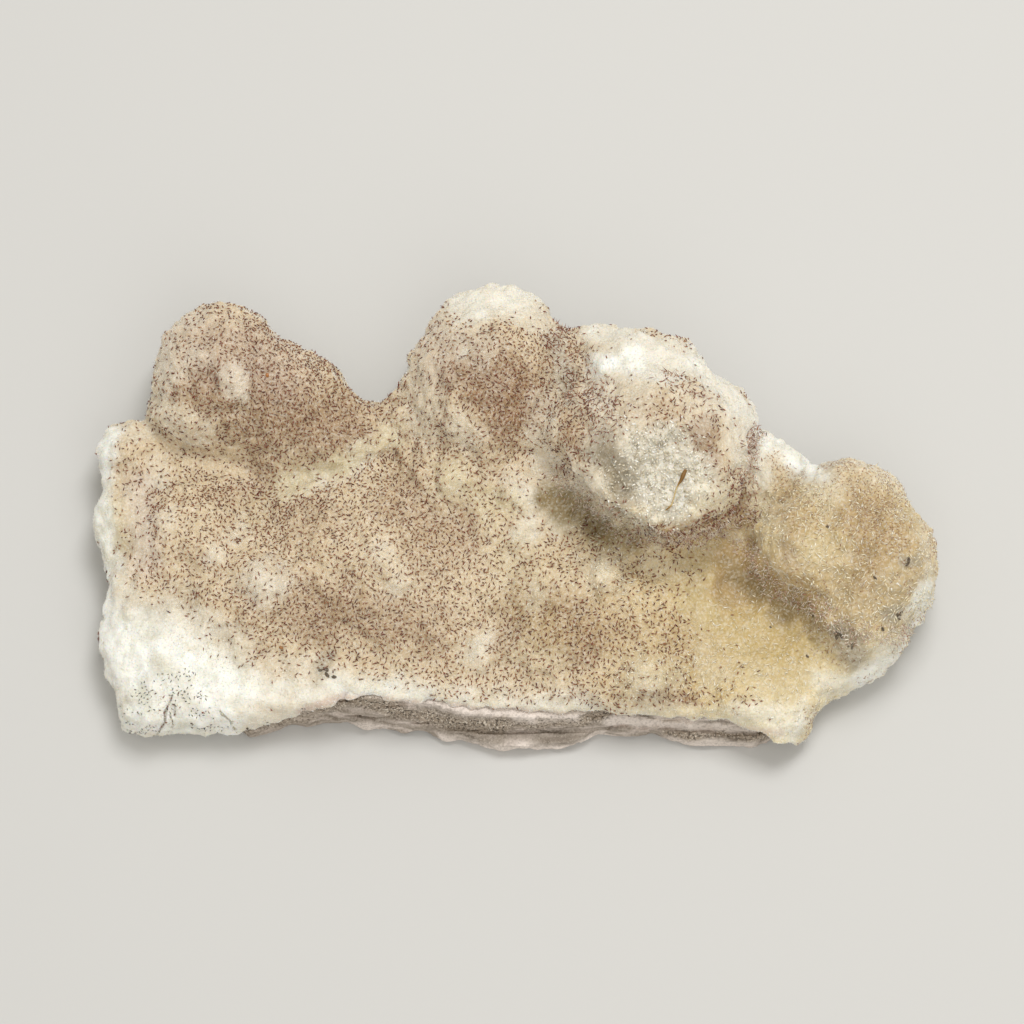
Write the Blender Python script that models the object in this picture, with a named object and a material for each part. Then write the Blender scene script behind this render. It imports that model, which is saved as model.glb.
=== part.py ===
"""Hydrozincite: a knobbly, velvety crust grown on a thin slab of layered host rock.

The specimen lies on its back, on the flat parting face of the rock. Metres, +Z up.
X runs along the specimen, Y across it, and Z is how far the crust stands up.
The origin is under the middle of the specimen, on the surface that it lies on.
"""

import math

import bmesh
import bpy
from mathutils import Matrix, Vector, noise

MM = 0.001

# Driving dimensions, in millimetres.
CRUST_UNDERSIDE_FOLD = 4.0
CRUST_UNDERSIDE_SQUEEZE = 0.62
ROCK_TOP_AT_HUMP = 5.9
ROCK_HUMP_X = -18.0
ROCK_TOP_FALL = 0.054
ROCK_LEFT_TOE_X = -30.0
ROCK_LEFT_TOE_TOP = 0.5
ROCK_LEFT_RISE = 0.46
BOND_GAP = 0.3

# Moves the middle of the specimen's footprint to the origin, in millimetres.
MIDDLE_SHIFT = (0.33, -0.42, 0.0)

# How finely the crust is meshed, in millimetres, and how many faces it keeps.
CRUST_VOXEL = 0.65
CRUST_SMOOTHING = 10
CRUST_FACES = 7600
CRUST_GROWTH = 0.35
OUTLINE_STEP = 1.2
ROCK_OUTLINE_STEP = 2.1

# The crust's plan, in millimetres, clockwise from its near left corner.
LEFT_END = (
    (-41.7, -23.0), (-42.2, -20.8), (-43.2, -18.0), (-44.0, -14.0), (-43.9, -10.2),
    (-43.3, -7.5), (-44.8, -4.6), (-45.9, 0.8), (-44.4, 4.9), (-45.5, 9.2), (-43.4, 11.4),
)
LEFT_KNOB_RIM = (
    (-39.9, 11.7), (-39.9, 15.2), (-39.6, 19.2), (-36.8, 23.2), (-32.5, 24.4),
    (-28.5, 22.4), (-23.6, 17.7), (-18.6, 13.8), (-15.8, 10.6), (-13.9, 10.0),
)
FAR_RIM = (
    (-13.4, 13.6), (-11.4, 17.4), (-9.4, 21.9), (-6.2, 25.4), (-2.3, 26.6), (1.0, 25.0),
    (4.3, 22.8), (6.5, 21.9), (10.0, 22.0), (14.0, 20.6), (18.0, 17.8), (21.6, 14.0),
    (23.9, 11.3), (27.4, 10.2),
)
RIGHT_END = (
    (29.8, 8.0), (31.3, 5.6), (33.5, 6.0), (36.5, 6.4), (39.2, 4.7), (42.0, 0.7),
    (44.6, -3.6), (45.5, -6.5), (44.1, -10.2), (42.4, -13.4), (39.5, -17.4), (36.3, -18.7),
    (33.5, -20.0), (32.2, -21.0), (31.6, -22.8), (29.9, -25.2), (27.4, -25.5),
)
NEAR_RIM = (
    (24.8, -23.7), (18.6, -22.8), (8.0, -22.5), (-2.0, -22.6), (-10.0, -22.2),
    (-20.0, -22.2), (-28.0, -23.2), (-36.0, -23.7),
)
CRUST_PLAN = LEFT_END + LEFT_KNOB_RIM + FAR_RIM + RIGHT_END + NEAR_RIM

# The crust sheet's edge from its underside up: height, and how far it draws in.
CRUST_EDGE = ((-1.2, 3.4), (0.6, 1.6), (2.4, 0.6), (4.6, 0.1), (6.0, 0.5), (7.0, 1.8))
NEAR_EDGE_Y = (-21.0, -13.0)

# Knobs and mounds: middle x, y, z, half widths along X, Y and Z in millimetres, turn in degrees.
KNOBS = {
    "left_knob": (-32.3, 15.3, 7.0, 7.6, 9.0, 8.0, 0),
    "left_ridge": (-26.2, 12.6, 5.8, 10.0, 7.6, 7.8, -30),
    "left_tail": (-18.6, 8.6, 5.2, 5.8, 5.6, 6.2, -25),
    "left_corner": (-41.6, 7.0, 4.6, 4.2, 4.7, 4.4, 0),
    "left_side_far": (-42.4, 0.0, 4.4, 3.9, 5.0, 4.2, 0),
    "left_side_near": (-40.3, -12.6, 4.0, 4.4, 7.6, 4.2, 0),
    "left_mound": (-35.4, -2.4, 5.0, 7.4, 6.6, 5.2, 25),
    "left_fill": (-38.0, -8.5, 4.2, 6.4, 6.4, 4.8, 0),
    "pale_corner": (-35.5, -15.5, 3.6, 8.5, 7.4, 4.9, 0),
    "far_knob": (-3.0, 13.4, 7.5, 9.5, 10.6, 9.5, 0),
    "far_knob_end": (-2.4, 20.8, 6.8, 7.2, 6.0, 6.8, 0),
    "far_knob_foot": (-4.6, 4.6, 5.6, 8.6, 7.6, 6.4, 0),
    "far_knob_side": (-9.9, 11.4, 5.5, 4.8, 6.2, 6.3, -15),
    "far_shoulder": (8.6, 14.2, 7.0, 7.6, 7.6, 8.0, 0),
    "nose": (15.4, 3.0, 14.0, 9.5, 9.5, 9.6, 0),
    "nose_side": (8.4, 4.6, 12.4, 5.8, 6.8, 6.6, 25),
    "nose_bridge": (13.2, 11.0, 9.5, 9.2, 9.0, 8.4, 0),
    "nose_flank": (20.0, 8.0, 8.8, 6.2, 6.8, 7.6, -35),
    "ledge": (27.4, 4.8, 4.4, 5.4, 4.8, 4.9, -35),
    "right_knob": (37.7, -6.6, 8.0, 7.4, 7.8, 8.4, 0),
    "right_knob_far": (35.8, -0.9, 7.0, 6.8, 6.6, 7.0, 0),
    "right_knob_side": (30.4, -5.8, 7.2, 6.2, 6.8, 7.0, 0),
    "right_knob_near": (35.6, -12.4, 6.6, 6.6, 5.4, 6.4, 15),
    "right_rim": (38.8, -11.0, 3.6, 4.4, 6.4, 4.4, -30),
    "middle_mound_left": (-14.0, -6.0, 4.5, 19.0, 12.5, 5.6, 0),
    "middle_mound_right": (8.0, -10.5, 4.5, 14.0, 12.0, 5.8, 0),
    "near_right_mound": (13.0, -15.0, 4.2, 8.6, 7.6, 5.2, 0),
    "right_toe": (27.6, -17.2, 3.8, 5.6, 4.6, 4.2, 20),
    "near_left_mound": (-27.5, -9.5, 4.5, 10.0, 9.0, 5.5, 0),
    "middle_mound_far": (0.5, -0.5, 5.5, 9.5, 7.0, 5.4, 0),
}

# Low rises and hollows on the crust: x, y, reach, and height (down if negative).
SWELLS = (
    (-26.6, -9.4, 3.4, 0.9), (-15.5, -6.2, 3.0, 0.9), (-12.0, -8.8, 3.0, 0.8),
    (-3.8, -16.2, 3.4, 0.8), (0.5, 1.0, 3.2, 0.9), (9.5, -8.8, 3.4, 0.9),
    (14.1, -18.8, 3.2, 0.8), (3.0, -7.0, 3.0, 0.8), (-33.5, -4.5, 3.0, 0.8),
    (-20.5, -14.5, 4.0, -0.7), (-9.0, -1.5, 4.0, -0.6), (1.5, -12.0, 3.6, -0.7),
    (-29.9, 11.9, 2.4, 0.9), (-34.0, 12.6, 2.8, -1.0), (-24.0, 4.5, 3.4, -0.6),
    (-1.0, 18.0, 3.2, 0.7), (-6.0, 9.0, 3.0, 0.8), (4.6, 12.4, 4.2, -0.9),
    (27.0, -14.0, 5.5, -1.3), (23.5, -20.0, 3.0, 0.6), (28.5, -5.0, 3.0, 0.7),
    (33.4, -6.4, 2.4, -1.0), (36.0, -12.5, 3.0, 0.6), (38.8, -5.0, 2.8, -0.7),
    (34.5, -1.0, 2.8, 0.7), (-42.0, 4.3, 2.4, -0.6), (-36.0, -19.5, 3.2, 0.7),
    (-30.0, -15.0, 4.0, -0.5), (12.0, 14.5, 3.4, 1.0), (18.5, 10.0, 3.0, 0.7),
    (-18.2, -8.6, 2.6, -0.8), (-1.7, -13.2, 3.0, -0.7), (4.7, -12.0, 3.0, -0.6),
    (-17.6, -14.3, 3.2, -0.5), (-25.0, -14.6, 3.0, -0.5), (1.5, -9.6, 2.4, 0.7),
    (-34.0, -6.6, 2.6, 0.6), (19.6, -16.4, 3.4, 0.7), (21.0, -8.0, 3.2, 0.6),
)
# The dish in the nose: its rim's middle x, y, z, its radius, its depth, and its tilt
# towards the near side in degrees.
NOSE_DISH = (15.8, -2.5, 19.9, 7.2, 1.7, 25.0)
DISH_RIM_SOFTNESS = 0.9

# Roughness of the grown crust: size of the lumps and their height, in millimetres.
LUMPS = ((7.5, 1.0), (3.6, 0.6), (1.6, 0.45))

# The host rock's plan, in millimetres, clockwise from its near left corner.
ROCK_BACK = (
    (-30.4, -22.4), (-30.0, -14.0), (-29.0, -4.0), (-29.4, 5.0), (-27.0, 10.5), (-20.0, 8.5),
    (-12.0, 8.0), (-7.5, 14.0), (-2.0, 18.0), (5.0, 15.5), (13.0, 13.8), (19.0, 9.0),
    (25.0, 3.0), (32.0, 1.0), (38.0, -2.5), (39.6, -8.5), (36.0, -14.5), (31.0, -17.8),
    (28.2, -22.0),
)
ROCK_FRONT = (
    (25.6, -24.3), (19.8, -23.7), (14.4, -22.9), (9.4, -22.9), (6.4, -23.9), (2.6, -24.4),
    (-1.7, -24.7), (-5.0, -23.7), (-8.4, -22.9), (-11.5, -22.0), (-15.2, -22.1),
    (-19.6, -21.4), (-24.0, -22.0),
)
# The broken front of the rock from the bottom up: share of its height, how far out.
ROCK_LEDGES = (
    (0.0, 0.2), (0.10, 0.8), (0.32, 0.6), (0.38, 0.1), (0.56, 0.35), (0.76, 0.0),
    (0.82, -0.6), (1.0, -0.8),
)
ROCK_ROUGHNESS = 0.3
FRONT_FADE_Y = (-19.0, -21.5)
# Above the lowest plate the front is straighter: what sticks out past this line shrinks.
PLATE_SHARE = 0.35
BODY_FRONT_Y = -22.8
BODY_FRONT_KEPT = 0.35


def clear_scene():
    for obj in list(bpy.data.objects):
        bpy.data.objects.remove(obj, do_unlink=True)


def stone(name, colour, roughness):
    """A plain mineral finish: not metallic, with the colour in linear RGB."""
    material = bpy.data.materials.new(name)
    material.use_nodes = True
    surface = material.node_tree.nodes["Principled BSDF"]
    surface.inputs["Base Color"].default_value = (*colour, 1.0)
    surface.inputs["Roughness"].default_value = roughness
    surface.inputs["Metallic"].default_value = 0.0
    return material


def smoothstep(low, high, value):
    share = min(1.0, max(0.0, (value - low) / (high - low)))
    return share * share * (3.0 - 2.0 * share)


def closed_curve(points, step):
    """Points at an even step along a smooth closed curve through the given ones."""
    count = len(points)
    corners = [Vector((x, y, 0.0)) for x, y in points]
    fine = []
    for i in range(count):
        before, start, end, after = (corners[(i + k) % count] for k in (-1, 0, 1, 2))
        pieces = 12
        for j in range(pieces):
            t = j / pieces
            fine.append(
                0.5 * (2.0 * start + (end - before) * t
                       + (2.0 * before - 5.0 * start + 4.0 * end - after) * t * t
                       + (3.0 * start - before - 3.0 * end + after) * t * t * t)
            )
    lengths = [(fine[(i + 1) % len(fine)] - fine[i]).length for i in range(len(fine))]
    total = sum(lengths)
    wanted = round(total / step)
    even, walked, i = [], 0.0, 0
    for k in range(wanted):
        target = total * k / wanted
        while walked + lengths[i] < target:
            walked += lengths[i]
            i += 1
        share = (target - walked) / lengths[i]
        even.append(fine[i].lerp(fine[(i + 1) % len(fine)], share))
    return even


def outward(ring):
    """The flat outward direction at each point of a clockwise ring."""
    ways = []
    for i in range(len(ring)):
        along = ring[(i + 1) % len(ring)] - ring[i - 1]
        ways.append(Vector((-along.y, along.x, 0.0)).normalized())
    return ways


def loft(name, rings):
    """A closed body through rings of equally many points, from the lowest to the highest."""
    mesh = bpy.data.meshes.new(name)
    body = bmesh.new()
    rows = [[body.verts.new(point * MM) for point in ring] for ring in rings]
    count = len(rows[0])
    for low, high in zip(rows, rows[1:]):
        for i in range(count):
            j = (i + 1) % count
            body.faces.new((low[j], low[i], high[i], high[j]))
    body.faces.new(rows[0])
    body.faces.new(reversed(rows[-1]))
    bmesh.ops.recalc_face_normals(body, faces=body.faces)
    body.to_mesh(mesh)
    body.free()
    obj = bpy.data.objects.new(name, mesh)
    bpy.context.scene.collection.objects.link(obj)
    return obj


def crust_sheet():
    """The flat sheet of crust between the knobs, drawn in under its rim."""
    plan = closed_curve(CRUST_PLAN, OUTLINE_STEP)
    ways = outward(plan)
    rings = []
    for height, drawn_in in CRUST_EDGE:
        drawn_in -= CRUST_GROWTH
        ring = []
        for point, way in zip(plan, ways):
            # The near edge is broken straight down, so it isn't drawn in underneath.
            tuck = smoothstep(*NEAR_EDGE_Y, point.y) if height < CRUST_UNDERSIDE_FOLD else 1.0
            ring.append(point - way * drawn_in * tuck + Vector((0.0, 0.0, height)))
        rings.append(ring)
    return loft("crust_sheet", rings)


def knob(name, x, y, z, half_x, half_y, half_z, turn):
    """A ball stretched to half widths and turned about the vertical."""
    bpy.ops.mesh.primitive_ico_sphere_add(subdivisions=4, radius=1.0)
    obj = bpy.context.object
    obj.name = name
    place = Matrix.Translation(Vector((x, y, z)) * MM)
    turned = Matrix.Rotation(math.radians(turn), 4, "Z")
    size = Matrix.Diagonal((half_x * MM, half_y * MM, half_z * MM, 1.0))
    obj.data.transform(place @ turned @ size)
    return obj


def joined(name, pieces):
    """One object that holds the meshes of all the pieces."""
    bpy.ops.object.select_all(action="DESELECT")
    for piece in pieces:
        piece.select_set(True)
    bpy.context.view_layer.objects.active = pieces[0]
    bpy.ops.object.join()
    pieces[0].name = name
    return pieces[0]


def apply_modifiers(obj):
    bpy.ops.object.select_all(action="DESELECT")
    obj.select_set(True)
    bpy.context.view_layer.objects.active = obj
    for modifier in list(obj.modifiers):
        bpy.ops.object.modifier_apply(modifier=modifier.name)


def soften(obj, times):
    smooth = obj.modifiers.new("soften", "SMOOTH")
    smooth.factor = 0.5
    smooth.iterations = times
    apply_modifiers(obj)


def fuse(obj, voxel, smoothing):
    """Grows overlapping bodies into one skin, with soft valleys between them."""
    remesh = obj.modifiers.new("fuse", "REMESH")
    remesh.mode = "VOXEL"
    remesh.voxel_size = voxel * MM
    apply_modifiers(obj)
    soften(obj, smoothing)


def squeeze_underside(obj):
    """Flattens the bottoms of the knobs towards the surface that the specimen lies on."""
    fold = CRUST_UNDERSIDE_FOLD * MM
    for vertex in obj.data.vertices:
        if vertex.co.z < fold:
            vertex.co.z = fold - (fold - vertex.co.z) * CRUST_UNDERSIDE_SQUEEZE


def swell(obj, x, y, reach, height):
    """Raises or lowers the upper surface round a point, as proportional editing does."""
    for vertex in obj.data.vertices:
        away = math.hypot(vertex.co.x / MM - x, vertex.co.y / MM - y) / reach
        if away < 1.0 and vertex.normal.z > 0.1:
            vertex.co.z += height * MM * (1.0 - away * away) ** 2 * vertex.normal.z


def scoop(obj, x, y, z, radius, depth, tilt):
    """Presses a round dish into the surface, square to a tilted axis."""
    middle = Vector((x, y, z)) * MM
    lean = math.radians(tilt)
    axis = Vector((0.0, -math.sin(lean), math.cos(lean)))
    for vertex in obj.data.vertices:
        offset = vertex.co - middle
        above = offset.dot(axis)
        away = (offset - axis * above).length / (radius * MM)
        if away < 1.0:
            floor = -depth * MM * (1.0 - away * away)
            over = max(0.0, above - floor)
            vertex.co -= axis * (over * over / (over + DISH_RIM_SOFTNESS * MM))


def roughen(obj, lump, height, name):
    """Lumps of a given size all over, from a cloud pattern."""
    clouds = bpy.data.textures.new(name, "CLOUDS")
    clouds.noise_scale = lump * MM
    clouds.noise_depth = 1
    displace = obj.modifiers.new(name, "DISPLACE")
    displace.texture = clouds
    displace.texture_coords = "LOCAL"
    displace.strength = height * MM
    displace.mid_level = 0.5


def thin_out(obj, faces):
    """Fewer, larger triangles where the surface is nearly flat."""
    decimate = obj.modifiers.new("thin_out", "DECIMATE")
    obj.data.calc_loop_triangles()
    decimate.ratio = faces / len(obj.data.loop_triangles)
    decimate.use_collapse_triangulate = True


def rock_top_planes(lift):
    """The rock's two upper planes, as a point and an upward normal each."""
    return (
        (Vector((ROCK_HUMP_X, 0.0, ROCK_TOP_AT_HUMP + lift)), Vector((ROCK_TOP_FALL, 0.0, 1.0))),
        (Vector((ROCK_LEFT_TOE_X, 0.0, ROCK_LEFT_TOE_TOP + lift)), Vector((-ROCK_LEFT_RISE, 0.0, 1.0))),
    )


def cut_to_planes(obj, planes):
    """Cuts away what stands above each plane and closes the cut with a flat face."""
    body = bmesh.new()
    body.from_mesh(obj.data)
    for point, normal in planes:
        geometry = body.verts[:] + body.edges[:] + body.faces[:]
        cut = bmesh.ops.bisect_plane(
            body, geom=geometry, plane_co=point * MM, plane_no=normal.normalized(), clear_outer=True
        )
        rim = [part for part in cut["geom_cut"] if isinstance(part, bmesh.types.BMEdge)]
        bmesh.ops.contextual_create(body, geom=rim)
    bmesh.ops.recalc_face_normals(body, faces=body.faces)
    body.to_mesh(obj.data)
    body.free()


def rock_height(x):
    """How high the rock's layers reach above its parting face at x, before the left flank."""
    return ROCK_TOP_AT_HUMP - (x - ROCK_HUMP_X) * ROCK_TOP_FALL


def host_rock():
    """The layered slab: flat parting face below, broken ledges in front."""
    plan = closed_curve(ROCK_BACK + ROCK_FRONT, ROCK_OUTLINE_STEP)
    ways = outward(plan)
    over_the_top = 1.3
    rings = []
    for level, (share, out) in enumerate(ROCK_LEDGES):
        ring = []
        for point, way in zip(plan, ways):
            front = smoothstep(*FRONT_FADE_Y, point.y)
            seed = Vector((point.x * 0.45, point.y * 0.45, level * 7.3))
            ragged = ROCK_ROUGHNESS * noise.noise(seed) * (1.0 + 2.0 * front)
            reach = out * front + ragged - ROCK_ROUGHNESS
            height = rock_height(point.x) * share * (over_the_top if share == 1.0 else 1.0)
            place = point + way * reach + Vector((0.0, 0.0, height))
            if share > PLATE_SHARE and place.y < BODY_FRONT_Y:
                place.y = BODY_FRONT_Y + (place.y - BODY_FRONT_Y) * BODY_FRONT_KEPT
            ring.append(place)
        rings.append(ring)
    rock = loft("host_rock", rings)
    cut_to_planes(rock, rock_top_planes(0.0))
    return rock


def rock_clearance():
    """The space that the rock takes out of the crust, open in front."""
    plan = closed_curve(ROCK_BACK + ROCK_FRONT, ROCK_OUTLINE_STEP)
    ways = outward(plan)
    open_front = 9.0
    rings = []
    for height in (-6.0, 12.0):
        ring = []
        for point, way in zip(plan, ways):
            opened = open_front * smoothstep(*FRONT_FADE_Y, point.y)
            ring.append(point + way * BOND_GAP + Vector((0.0, -opened, height)))
        rings.append(ring)
    space = loft("rock_clearance", rings)
    cut_to_planes(space, rock_top_planes(BOND_GAP))
    space.hide_render = True
    space.display_type = "WIRE"
    return space


def hydrozincite_crust():
    """The sheet and its knobs, grown together, with the rock's place cut out below."""
    pieces = [crust_sheet()] + [knob(name, *sizes) for name, sizes in KNOBS.items()]
    crust = joined("hydrozincite_crust", pieces)
    fuse(crust, CRUST_VOXEL, CRUST_SMOOTHING)
    squeeze_underside(crust)
    scoop(crust, *NOSE_DISH)
    for rise in SWELLS:
        swell(crust, *rise)
    soften(crust, 2)
    for i, (lump, height) in enumerate(LUMPS):
        roughen(crust, lump, height, f"lumps_{i}")
    apply_modifiers(crust)
    thin_out(crust, CRUST_FACES)
    bond = crust.modifiers.new("bond", "BOOLEAN")
    bond.operation = "DIFFERENCE"
    bond.object = rock_clearance()
    return crust


def main():
    clear_scene()
    rock = host_rock()
    rock.data.materials.append(stone("grey_layered_rock", (0.19, 0.17, 0.14), 0.85))
    crust = hydrozincite_crust()
    crust.data.materials.append(stone("cream_hydrozincite", (0.62, 0.55, 0.42), 0.6))
    to_middle = Matrix.Translation(Vector(MIDDLE_SHIFT) * MM)
    for obj in (rock, crust, bpy.data.objects["rock_clearance"]):
        obj.data.transform(to_middle)


main()
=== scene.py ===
import math

import bpy
import numpy as np
from mathutils import Matrix, Vector, noise


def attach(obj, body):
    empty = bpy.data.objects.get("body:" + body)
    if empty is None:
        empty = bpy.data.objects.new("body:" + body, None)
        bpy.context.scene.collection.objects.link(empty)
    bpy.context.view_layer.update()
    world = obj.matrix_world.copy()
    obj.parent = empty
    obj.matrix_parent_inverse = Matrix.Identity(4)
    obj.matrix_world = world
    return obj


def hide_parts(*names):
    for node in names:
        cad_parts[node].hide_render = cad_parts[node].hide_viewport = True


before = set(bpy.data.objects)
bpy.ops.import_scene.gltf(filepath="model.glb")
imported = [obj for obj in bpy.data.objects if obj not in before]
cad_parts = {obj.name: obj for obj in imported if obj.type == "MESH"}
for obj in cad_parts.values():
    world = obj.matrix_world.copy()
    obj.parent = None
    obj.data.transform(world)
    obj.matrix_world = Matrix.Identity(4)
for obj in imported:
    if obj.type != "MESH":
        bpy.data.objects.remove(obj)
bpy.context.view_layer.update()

# Hydrozincite on host rock. Lengths in this script are millimetres unless they say otherwise,
# and a piece's own mesh is in metres, in the same frame as the solids.
MM = 0.001

# Where the photograph was taken from: height above the floor in degrees, distance, and the
# point on the specimen that the middle of the picture looks at.
VIEW_TILT = math.radians(68.0)
VIEW_DISTANCE = 400.0
VIEW_MIDDLE = np.array((-0.07, -0.42, 7.0))
PICTURE_WIDTH = 110.6
SENSOR_WIDTH = 36.0
TOWARD_VIEW = np.array((0.0, -math.cos(VIEW_TILT), math.sin(VIEW_TILT)))

# Strokes of colour on the crust, laid where the photograph shows them: start and end across
# and up the picture in millimetres from its middle, half width, and strength.
BARE_OF_STAIN_AND_LIGHTENED = (
    (32.6, -3.6, 34.2, -6.0, 1.5, 0.5), (34.0, 2.6, 36.0, 0.0, 1.5, 0.4), (26.6, 8.0, 27.0, 2.0, 1.3, 0.7),
    (-29.0, -8.0, -28.0, -9.0, 1.3, 0.4), (-26.0, -15.6, -22.0, -16.2, 1.0, 0.4),
    (-38.2, 20.0, -35.2, 21.6, 2.0, 0.4), (3.0, 20.9, 4.4, 20.0, 1.6, 0.5), (3.4, 6.6, 3.7, 4.6, 1.0, 0.5),
    (18.0, 13.4, 20.4, 9.8, 1.3, 0.4), (41.0, -7.6, 42.2, -10.0, 1.4, 0.5),
    (20.0, -12.0, 20.8, -15.0, 1.6, 0.4), (15.5, -5.6, 22.0, -5.2, 1.3, 0.4),
    (25.2, 9.0, 25.5, 1.5, 1.2, 0.5), (-44.8, 8.9, -44.1, -5.2, 1.3, 1.0),
    (-42.3, 9.1, -39.6, 8.9, 1.3, 0.4), (-43.4, -9.5, -41.3, -22.5, 2.8, 1.0),
    (-39.1, -14.9, -32.1, -19.2, 4.3, 1.0), (-41.3, -9.5, -34.8, -11.7, 1.5, 0.8),
    (-30.5, -19.2, -9.9, -20.2, 1.5, 1.0), (-9.9, -20.8, 12.0, -22.6, 1.1, 0.9),
    (-29.4, -17.3, -16.0, -17.9, 1.2, 0.4), (13.8, -22.0, 30.0, -22.4, 1.1, 0.9),
    (-40.5, 1.4, -39.4, -5.2, 1.3, 0.5), (-32.6, -11.4, -29.4, -13.8, 1.4, 0.5),
    (25.2, -8.4, 30.0, -18.1, 4.3, 1.0), (24.6, -3.0, 26.8, -7.3, 1.5, 0.7),
    (20.3, -9.5, 21.9, -18.1, 1.5, 0.6), (42.4, -0.9, 45.1, -9.5, 1.3, 0.6),
    (39.7, -16.0, 34.3, -19.2, 2.4, 0.9), (36.5, -5.2, 37.6, -9.5, 6.5, 0.45),
    (27.3, 8.3, 32.2, 5.1, 1.9, 1.0), (8.4, 20.2, 22.5, 14.8, 1.5, 0.9), (22.5, 14.8, 26.8, 9.4, 1.3, 0.8),
    (10.0, 15.9, 17.0, 15.8, 1.9, 0.85), (-4.8, 22.9, 0.9, 23.3, 2.2, 1.0),
    (13.8, 5.1, 18.1, 2.9, 4.2, 1.0), (-23.5, 2.9, -20.4, 3.8, 1.3, 0.5),
    (-20.4, 3.8, -15.9, 6.4, 1.3, 0.55), (-15.9, 6.4, -13.0, 8.6, 1.2, 0.35),
    # The strokes at -38.6, 18.4 and -36.0, 9.6 are painted light: they lighten the left lobe's shaded left
    # flank and the crease below it.
    (-29.9, 15.0, -29.7, 13.0, 1.1, 0.65), (-38.6, 18.4, -37.8, 11.4, 1.5, 0.45),
    (-36.0, 9.6, -33.5, 8.6, 1.5, 0.4), (-36.7, 15.8, -34.0, 17.0, 1.3, 0.4),
    (-26.6, -7.1, -25.6, -7.7, 1.9, 0.7), (-14.3, -4.1, -14.0, -4.3, 1.4, 0.45),
    (-12.1, -7.6, -11.9, -7.7, 1.5, 0.6), (-32.4, -4.1, -32.2, -4.3, 1.1, 0.6),
    (-37.4, -0.5, -37.2, -0.7, 1.1, 0.4), (-29.8, -2.3, -29.6, -2.4, 1.0, 0.4),
    (-3.2, -13.8, -3.6, -15.4, 1.5, 0.75), (0.9, 2.4, 1.0, 2.4, 1.9, 0.6), (1.2, -0.9, 1.6, -2.5, 1.1, 0.8),
    (2.5, 1.3, 5.2, -0.9, 1.3, 0.8), (10.0, -6.8, 10.2, -6.8, 1.9, 0.65),
    (14.6, -17.9, 15.2, -17.9, 2.3, 0.75), (-6.5, 3.2, -6.4, 3.2, 1.4, 0.35),
    (-38.6, 3.7, -38.4, 3.7, 1.4, 0.6), (2.3, -9.2, 2.4, -9.3, 1.3, 0.7),
    (-5.8, 16.8, -5.7, 16.8, 0.6, 0.8), (-1.1, 14.0, -1.0, 14.0, 1.0, 0.15),
    (-5.8, 9.6, -4.2, 7.6, 1.3, 0.5), (-7.8, 19.4, -4.3, 18.0, 2.6, 0.4),
    (-10.6, 15.1, -10.0, 12.4, 2.6, 0.4), (-9.2, 8.9, -8.6, 8.3, 1.9, 0.35),
    (22.5, 12.3, 23.8, 11.0, 1.9, 0.7), (33.5, 3.2, 34.6, 1.4, 2.2, 0.55),
    (5.2, 2.0, 12.2, -1.8, 1.4, 0.95), (4.8, 17.3, 6.3, 12.3, 1.1, 0.5), (3.0, 12.4, 3.5, 2.0, 1.3, 0.4),
    (9.4, 14.4, 9.7, 7.0, 1.3, 0.6), (13.0, -1.6, 15.6, -2.6, 1.0, 0.6), (6.0, 5.6, 6.6, 3.8, 1.0, 0.4),
    (25.7, 8.6, 25.7, -0.6, 1.0, 0.5), (39.0, 5.6, 43.0, 1.6, 1.7, 0.5), (12.0, 13.4, 13.6, 12.4, 1.8, 0.4),
    (7.6, 3.6, 8.6, 2.6, 1.2, 0.8), (24.0, 8.2, 25.3, 5.4, 1.0, 0.6), (27.3, 3.5, 28.4, -1.9, 1.5, 0.6),
    (-42.3, -23.3, -28.3, -24.4, 1.5, 1.0), (-28.3, -22.7, -18.6, -21.0, 1.0, 1.0),
    (27.9, -24.1, 31.1, -24.1, 1.7, 1.0),
)
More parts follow.
